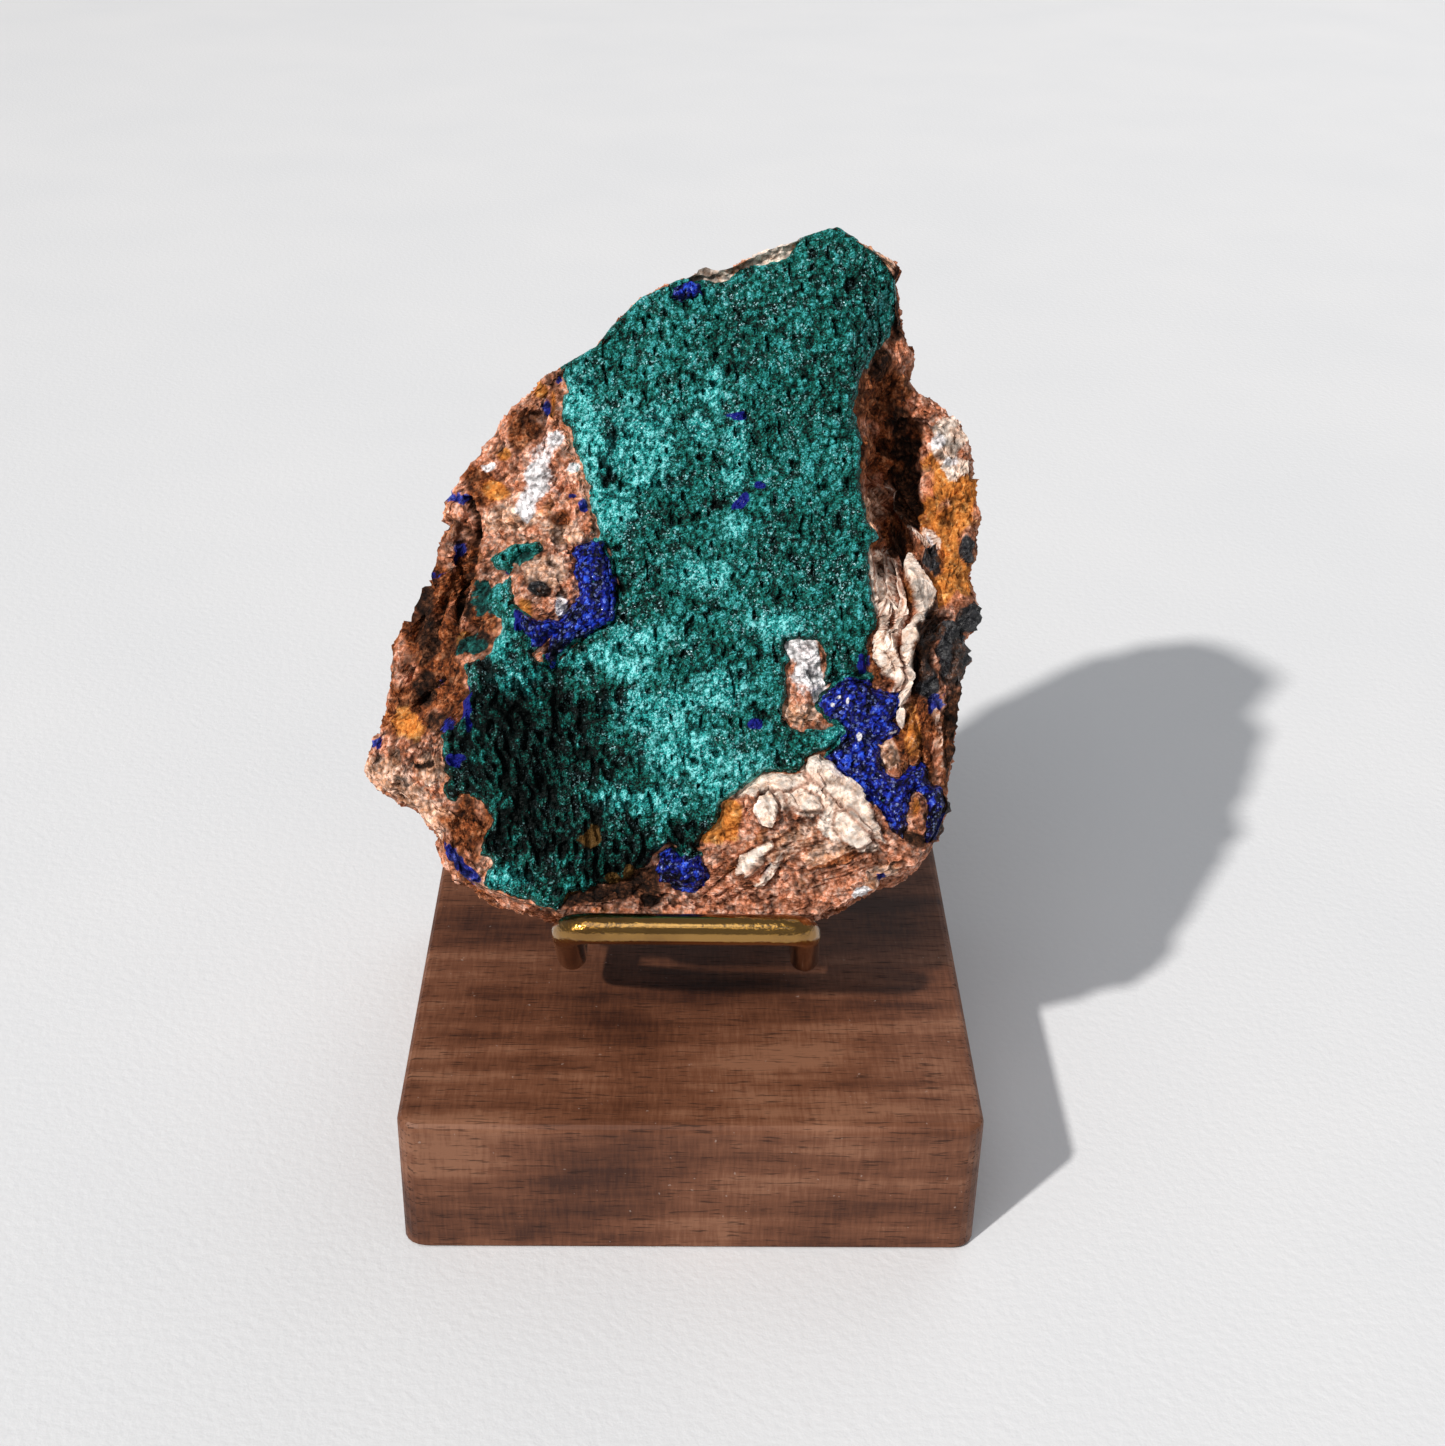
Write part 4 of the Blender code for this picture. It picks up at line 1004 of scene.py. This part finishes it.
# Materials
class Shader:
    """A material with a Principled BSDF and short ways to add nodes to it."""

    def __init__(self, name):
        self.material = bpy.data.materials.new(name)
        self.material.use_nodes = True
        self.tree = self.material.node_tree
        self.bsdf = self.tree.nodes["Principled BSDF"]
        self.place = self.tree.nodes.new("ShaderNodeTexCoord").outputs["Object"]

    def plug(self, socket, value):
        if isinstance(value, bpy.types.NodeSocket):
            self.tree.links.new(value, socket)
        elif isinstance(value, tuple) and len(value) == 3 and socket.type == "RGBA":
            socket.default_value = (*value, 1.0)
        else:
            socket.default_value = value

    def node(self, kind, inputs, **settings):
        node = self.tree.nodes.new(kind)
        for key, value in settings.items():
            setattr(node, key, value)
        for key, value in inputs.items():
            self.plug(node.inputs[key], value)
        return node

    def material_with(self, **inputs):
        for key, value in inputs.items():
            self.plug(self.bsdf.inputs[key.replace("_", " ")], value)
        return self.material

    def attribute(self, name):
        return self.node("ShaderNodeAttribute", {}, attribute_name=name).outputs["Fac"]

    def noise(self, size, detail=3.0, roughness=0.55, squeeze=None):
        """A noise of some size in millimetres, squeezed along x, y and z if told so."""
        place = self.place
        if squeeze:
            place = self.node("ShaderNodeMapping", {"Vector": place, "Scale": squeeze}).outputs["Vector"]
        return self.node("ShaderNodeTexNoise", {
            "Vector": place, "Scale": 1.0 / (size * MM), "Detail": detail, "Roughness": roughness,
        }).outputs["Fac"]

    def voronoi(self, size, output="Distance"):
        node = self.node("ShaderNodeTexVoronoi", {"Vector": self.place, "Scale": 1.0 / (size * MM)})
        return node.outputs[output]

    def crystals(self, size):
        """A number from 0 to 1 for each cell of some size in millimetres."""
        return self.node("ShaderNodeSeparateColor", {0: self.voronoi(size, "Color")}).outputs[0]

    def math(self, operation, a, b):
        return self.node("ShaderNodeMath", {0: a, 1: b}, operation=operation).outputs[0]

    def times(self, a, b):
        return self.math("MULTIPLY", a, b)

    def total(self, first, *others):
        """The sum of fields."""
        for other in others:
            first = self.math("ADD", first, other)
        return first

    def beside(self, middle, value, weight):
        """How far a field is from a middle value, times a weight."""
        return self.times(self.math("SUBTRACT", value, middle), weight)

    def vector(self, operation, inputs):
        return self.node("ShaderNodeVectorMath", inputs, operation=operation).outputs[0]

    def clamp(self, value, low, high):
        node = self.node("ShaderNodeMapRange", {"Value": value, "From Min": low, "From Max": high},
                         interpolation_type="SMOOTHSTEP")
        return node.outputs["Result"]

    def mix(self, amount, a, b):
        return self.node("ShaderNodeMix", {0: amount, 6: a, 7: b}, data_type="RGBA").outputs[2]

    def blend(self, amount, a, b):
        """Mixes two numbers."""
        return self.node("ShaderNodeMix", {0: amount, 2: a, 3: b}, data_type="FLOAT").outputs[0]

    def stained(self, base, mask, grain, colour, sharp=0.22, broken_by=1.6):
        """Lays a colour over the base where the mask, broken up by a grain, is strong."""
        broken = self.total(self.attribute(mask), self.beside(0.5, grain, broken_by))
        return self.mix(self.clamp(broken, 0.5 - sharp, 0.5 + sharp), base, colour)

    def ramp(self, value, stops):
        node = self.node("ShaderNodeValToRGB", {"Fac": value})
        marks = node.color_ramp.elements
        while len(marks) < len(stops):
            marks.new(0.5)
        for mark, (at, colour) in zip(marks, stops):
            mark.position = at
            mark.color = (*colour, 1.0)
        return node.outputs["Color"]

    def bump(self, height, distance, normal=None):
        node = self.node("ShaderNodeBump", {"Height": height, "Distance": distance * MM})
        if normal:
            self.plug(node.inputs["Normal"], normal)
        return node.outputs["Normal"]

    def glitter(self, size, amount, normal):
        """Turns the surface a little in each tiny cell, as small crystal faces do."""
        tilt = self.vector("SUBTRACT", {0: self.voronoi(size, "Color"), 1: (0.5, 0.5, 0.5)})
        tilt = self.vector("SCALE", {0: tilt, "Scale": amount})
        return self.vector("NORMALIZE", {0: self.vector("ADD", {0: normal, 1: tilt})})


# The rock's colours, each from its darkest grains to its lightest
ROCK_RAMPS = {
    "salmon": [(0.34, (0.12, 0.03, 0.01)), (0.43, (0.42, 0.14, 0.065)), (0.5, (0.62, 0.26, 0.155)),
               (0.6, (0.85, 0.54, 0.42))],
    "rust": [(0.36, (0.01, 0.003, 0.001)), (0.45, (0.1, 0.023, 0.006)), (0.52, (0.28, 0.075, 0.02)),
             (0.64, (0.55, 0.24, 0.12))],
    "ochre": [(0.34, (0.2, 0.05, 0.006)), (0.44, (0.46, 0.14, 0.022)), (0.54, (0.64, 0.24, 0.05)),
              (0.64, (0.8, 0.44, 0.17))],
    "pale": [(0.34, (0.34, 0.12, 0.05)), (0.46, (0.66, 0.34, 0.2)), (0.6, (0.86, 0.6, 0.48))],
    "cream": [(0.32, (0.42, 0.2, 0.11)), (0.42, (0.78, 0.55, 0.42)), (0.56, (0.93, 0.8, 0.7))],
    "white": [(0.34, (0.5, 0.4, 0.39)), (0.44, (0.78, 0.71, 0.71)), (0.58, (0.92, 0.9, 0.91))],
    "dark_and_shade": [(0.38, (0.004, 0.002, 0.001)), (0.48, (0.03, 0.011, 0.005)), (0.56, (0.1, 0.035, 0.015)),
             (0.66, (0.28, 0.12, 0.06))],
    "grey": [(0.38, (0.003, 0.003, 0.005)), (0.52, (0.018, 0.018, 0.022)), (0.62, (0.09, 0.085, 0.085)),
             (0.7, (0.3, 0.28, 0.27))],
    "blue": [(0.36, (0.003, 0.003, 0.05)), (0.5, (0.012, 0.018, 0.24)), (0.66, (0.14, 0.18, 0.6))],
    "teal": [(0.4, (0.001, 0.01, 0.009)), (0.5, (0.005, 0.06, 0.052)), (0.58, (0.02, 0.16, 0.14)),
             (0.66, (0.1, 0.4, 0.38))],
}


def rock_material():
    s = Shader("rock_stone")
    broad = s.noise(7.0, 4.0)
    middle = s.noise(1.7, 4.0, 0.65)
    fine = s.noise(0.45, 3.0, 0.7)
    grain = s.total(s.times(middle, 0.55), s.times(fine, 0.45))
    paint = {name: s.ramp(grain, stops) for name, stops in ROCK_RAMPS.items()}
    hidden = s.math("SUBTRACT", 1.0, s.attribute("seen"))
    stain = s.total(s.times(broad, 0.7), s.times(middle, 0.3), s.times(hidden, 0.1))
    colour = s.mix(s.clamp(stain, 0.55, 0.66), paint["salmon"], paint["rust"])
    veins = s.clamp(s.noise(4.0, 5.0, 0.6, (1.0, 1.6, 0.7)), 0.6, 0.7)
    colour = s.mix(s.times(veins, 0.5), colour, paint["ochre"])
    for mask in ("pale", "rust", "ochre", "cream", "white"):
        colour = s.stained(colour, mask, grain, paint[mask])
    colour = s.stained(colour, "lath", grain, paint["cream"])
    colour = s.mix(s.times(s.attribute("seam"), 0.92), colour, paint["rust"])
    # The dark patches and the cracks in them are partly painted shade
    for mask in ("grey", "dark_and_shade", "teal", "blue"):
        colour = s.stained(colour, mask, grain, paint[mask])
    smooth = s.times(s.math("MAXIMUM", s.attribute("cream"), s.attribute("ochre")), 0.7)
    smooth = s.math("MAXIMUM", s.attribute("lath"), smooth)
    # Darker in the creases and in the gaps between crumbs, less on smooth calcite: painted shade. Each
    # crystal cell is also lighter or darker at random.
    crumb = s.blend(smooth, s.voronoi(0.75), 0.35)
    crease = s.times(s.blend(s.attribute("crease"), 0.25, 1.15), s.blend(s.clamp(crumb, 0.4, 0.8), 1.12, 0.5))
    crease = s.times(crease, s.blend(s.crystals(0.75), 0.78, 1.25))
    shade = s.vector("SCALE", {0: colour, "Scale": crease})
    normal = s.bump(fine, 0.2, s.bump(middle, 0.3, s.bump(s.math("SUBTRACT", 1.0, crumb), 0.25)))
    shine = s.math("MAXIMUM", s.attribute("white"), s.attribute("grey"))
    return s.material_with(
        Base_Color=shade, Roughness=s.blend(shine, 0.85, 0.42),
        Specular_IOR_Level=s.blend(shine, 0.18, 0.5), Normal=s.glitter(0.35, 0.6, normal))


def malachite_material():
    s = Shader("malachite_crust_stone")
    broad = s.noise(9.0, 3.0)
    middle = s.noise(1.4, 4.0, 0.6)
    fine = s.noise(0.32, 2.0, 0.7)
    crystals = s.crystals(0.2)
    shaded = s.attribute("shaded")
    # Darker in the creases, pits and gaps and over the shaded patches: painted shade
    tone = s.total(s.times(s.attribute("crease"), 0.5), s.times(fine, 0.24), s.beside(0.08, middle, 0.3),
                   s.beside(0.5, broad, 0.4), s.beside(0.46, crystals, 0.46), s.times(shaded, -0.36))
    green = s.ramp(tone, [(0.2, (0.0004, 0.0025, 0.002)), (0.36, (0.0015, 0.024, 0.018)),
                          (0.54, (0.003, 0.094, 0.07)), (0.7, (0.012, 0.2, 0.178)),
                          (0.88, (0.075, 0.46, 0.48))])
    mint = s.ramp(tone, [(0.22, (0.001, 0.032, 0.03)), (0.42, (0.012, 0.19, 0.18)),
                         (0.58, (0.03, 0.42, 0.4)), (0.78, (0.3, 0.83, 0.84))])
    bloom = s.noise(1.5, 6.0, 0.72)
    colour = s.stained(green, "mint", bloom, mint, 0.45, 2.4)
    painted_glint = s.times(s.clamp(crystals, 0.86, 0.92), s.clamp(s.noise(3.2, 4.0, 0.7), 0.46, 0.6))
    painted_glint = s.times(painted_glint, s.math("SUBTRACT", 1.0, s.times(shaded, 0.9)))
    # A few crystal cells are painted pale cyan as glints: painted highlight; the same cells are also made
    # glossy
    colour = s.mix(s.times(painted_glint, 0.6), colour, (0.38, 0.68, 0.74))
    colour = s.stained(colour, "blue", middle, (0.008, 0.012, 0.2))
    colour = s.stained(colour, "pebble", middle, (0.1, 0.05, 0.012))
    normal = s.bump(fine, 0.14, s.bump(middle, 0.2))
    return s.material_with(
        Base_Color=colour, Roughness=s.blend(painted_glint, 0.62, 0.2),
        Specular_IOR_Level=s.blend(painted_glint, 0.15, 0.9), Normal=s.glitter(0.28, 0.8, normal))


def azurite_material():
    s = Shader("azurite_crystal")
    middle = s.noise(1.1, 4.0, 0.6)
    fine = s.noise(0.3, 2.0, 0.7)
    broad = s.noise(4.0, 3.0)
    crystals = s.crystals(0.32)
    # The tone is darker in creases and over the shaded patches: painted shade
    tone = s.total(s.times(s.attribute("crease"), 0.45), s.times(fine, 0.22), s.times(middle, 0.18),
                   s.times(crystals, 0.2), s.beside(0.54, broad, 0.5), s.times(s.attribute("shaded"), -0.2))
    blue = s.ramp(tone, [(0.28, (0.0004, 0.0004, 0.006)), (0.43, (0.002, 0.003, 0.07)),
                         (0.57, (0.005, 0.011, 0.27)), (0.76, (0.03, 0.11, 0.8))])
    normal = s.bump(fine, 0.14, s.bump(middle, 0.15))
    painted_glint = s.clamp(crystals, 0.82, 0.9)
    # A few crystal cells are painted pale blue as glints: painted highlight; the same cells are also made
    # glossy
    blue = s.mix(s.times(painted_glint, 0.3), blue, (0.3, 0.42, 0.9))
    blue = s.stained(blue, "white", middle, (0.8, 0.78, 0.8))
    return s.material_with(
        Base_Color=blue, Roughness=s.blend(painted_glint, 0.55, 0.16),
        Specular_IOR_Level=s.blend(painted_glint, 0.2, 0.9), Normal=s.glitter(0.32, 0.8, normal))


def brass_material():
    s = Shader("polished_brass")
    broad = s.noise(6.0, 3.0)
    scratch = s.noise(0.5, 3.0, 0.6, (0.12, 1.0, 1.0))
    peel = s.noise(0.8, 2.0)
    bent = s.attribute("bent")
    colour = s.mix(s.clamp(broad, 0.35, 0.7), (0.38, 0.2, 0.042), (0.25, 0.12, 0.022))
    normal = s.bump(scratch, 0.003, s.bump(s.times(peel, bent), 0.14))
    return s.material_with(
        Base_Color=colour, Metallic=1.0, Roughness=s.blend(bent, 0.14, 0.22), Normal=normal,
        Coat_Weight=0.7, Coat_Roughness=0.08)


def walnut_material():
    s = Shader("satin_walnut")
    grain = s.noise(3.6, 5.0, 0.65, (0.09, 1.0, 1.0))
    wave = s.noise(16.0, 2.0, 0.5, (0.25, 1.0, 1.0))
    pores = s.noise(0.34, 2.0, 0.6, (0.08, 1.0, 1.0))
    sawn = s.noise(0.5, 2.0, 0.6, (1.0, 0.12, 0.12))
    dapple = s.noise(22.0, 3.0)
    tone = s.total(s.times(grain, 0.4), s.times(wave, 0.2), s.times(dapple, 0.4), s.beside(0.5, sawn, 0.16))
    colour = s.ramp(tone, [(0.38, (0.05, 0.016, 0.008)), (0.46, (0.108, 0.037, 0.017)),
                           (0.53, (0.168, 0.063, 0.031)), (0.6, (0.25, 0.11, 0.06))])
    streak = s.clamp(pores, 0.57, 0.66)
    colour = s.mix(s.times(streak, 0.7), colour, (0.022, 0.008, 0.004))
    dust = s.clamp(s.noise(0.9, 2.0, 0.5), 0.74, 0.78)
    colour = s.mix(s.times(dust, 0.35), colour, (0.5, 0.4, 0.34))
    normal = s.bump(pores, 0.05, s.bump(grain, 0.08))
    return s.material_with(
        Base_Color=colour, Roughness=s.blend(streak, 0.5, 0.65), Specular_IOR_Level=0.25, Normal=normal)


def floor_material():
    s = Shader("pale_floor")
    weave = s.noise(1.3, 3.0)
    soft = s.noise(60.0, 2.0)
    colour = s.mix(soft, (0.74, 0.75, 0.77), (0.8, 0.8, 0.81))
    return s.material_with(
        Base_Color=colour, Roughness=0.9, Specular_IOR_Level=0.2, Normal=s.bump(weave, 0.12))


# Camera, light and floor
def build_camera():
    data = bpy.data.cameras.new("photo_camera")
    data.sensor_fit = "HORIZONTAL"
    data.sensor_width = SENSOR_WIDTH
    data.lens = FOCAL_PIXELS * SENSOR_WIDTH / PHOTO_WIDTH
    data.clip_start = 0.01
    data.clip_end = 20.0
    camera = bpy.data.objects.new("photo_camera", data)
    bpy.context.scene.collection.objects.link(camera)
    columns = Matrix((CAMERA_RIGHT, -CAMERA_DOWN, -CAMERA_FORWARD)).transposed()
    camera.matrix_world = Matrix.Translation(Vector(CAMERA_AT) * MM) @ columns.to_4x4()
    bpy.context.scene.camera = camera


def add_light(name, kind, toward, distance, power, colour, **settings):
    """A light at a distance in metres from the object's middle, which shines on it."""
    data = bpy.data.lights.new(name, kind)
    data.energy = power
    data.color = colour
    for key, value in settings.items():
        setattr(data, key, value)
    light = bpy.data.objects.new(name, data)
    bpy.context.scene.collection.objects.link(light)
    away = Vector(toward).normalized()
    light.location = Vector((0.0, 0.0, AIM_HEIGHT * MM)) + away * distance
    light.rotation_euler = (-away).to_track_quat("-Z", "Y").to_euler()


def build_lights():
    add_light("key", "SUN", (-0.82, -0.82, 1.0), 1.6, 3.0, (1.0, 0.97, 0.93), angle=math.radians(2.4))
    add_light("fill", "AREA", (-0.2, -0.5, 1.0), 1.2, 2.0, (0.93, 0.96, 1.0), shape="DISK", size=0.6)
    add_light("strip", "AREA", (0.0, -0.7, 0.75), 0.9, 0.5, (1.0, 0.98, 0.95), shape="RECTANGLE",
              size=1.2, size_y=0.03)
    add_light("back", "AREA", (0.6, 0.9, 0.9), 1.3, 2.4, (0.95, 0.97, 1.0), shape="DISK", size=1.0)
    world = bpy.data.worlds.new("studio")
    bpy.context.scene.world = world
    world.use_nodes = True
    background = world.node_tree.nodes["Background"]
    background.inputs["Color"].default_value = (0.88, 0.9, 0.93, 1.0)
    background.inputs["Strength"].default_value = 0.26


def build_floor():
    bpy.ops.mesh.primitive_circle_add(vertices=64, radius=FLOOR_RADIUS * MM, fill_type="NGON")
    floor = bpy.context.object
    floor.name = "floor"
    floor.data.materials.append(floor_material())


def dress(piece, material, slot, *nodes):
    piece.data.materials.append(material)
    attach(piece, "root")
    if nodes:
        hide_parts(*nodes)


build_camera()
build_lights()
build_floor()
stone = rock_material()
for piece in build_rock():
    dress(piece, stone, "rock", "rock_matrix")
dress(build_malachite(), malachite_material(), "malachite", "malachite_crust")
azurite = azurite_material()
for node, outline in AZURITE.items():
    dress(build_azurite(node, outline), azurite, "azurite", node)
dress(build_rod(), brass_material(), "brass", "brass_cradle")
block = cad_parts["walnut_block"]
walnut = walnut_material()
for place in block.material_slots:
    place.material = walnut
bpy.context.scene.view_settings.view_transform = "Standard"
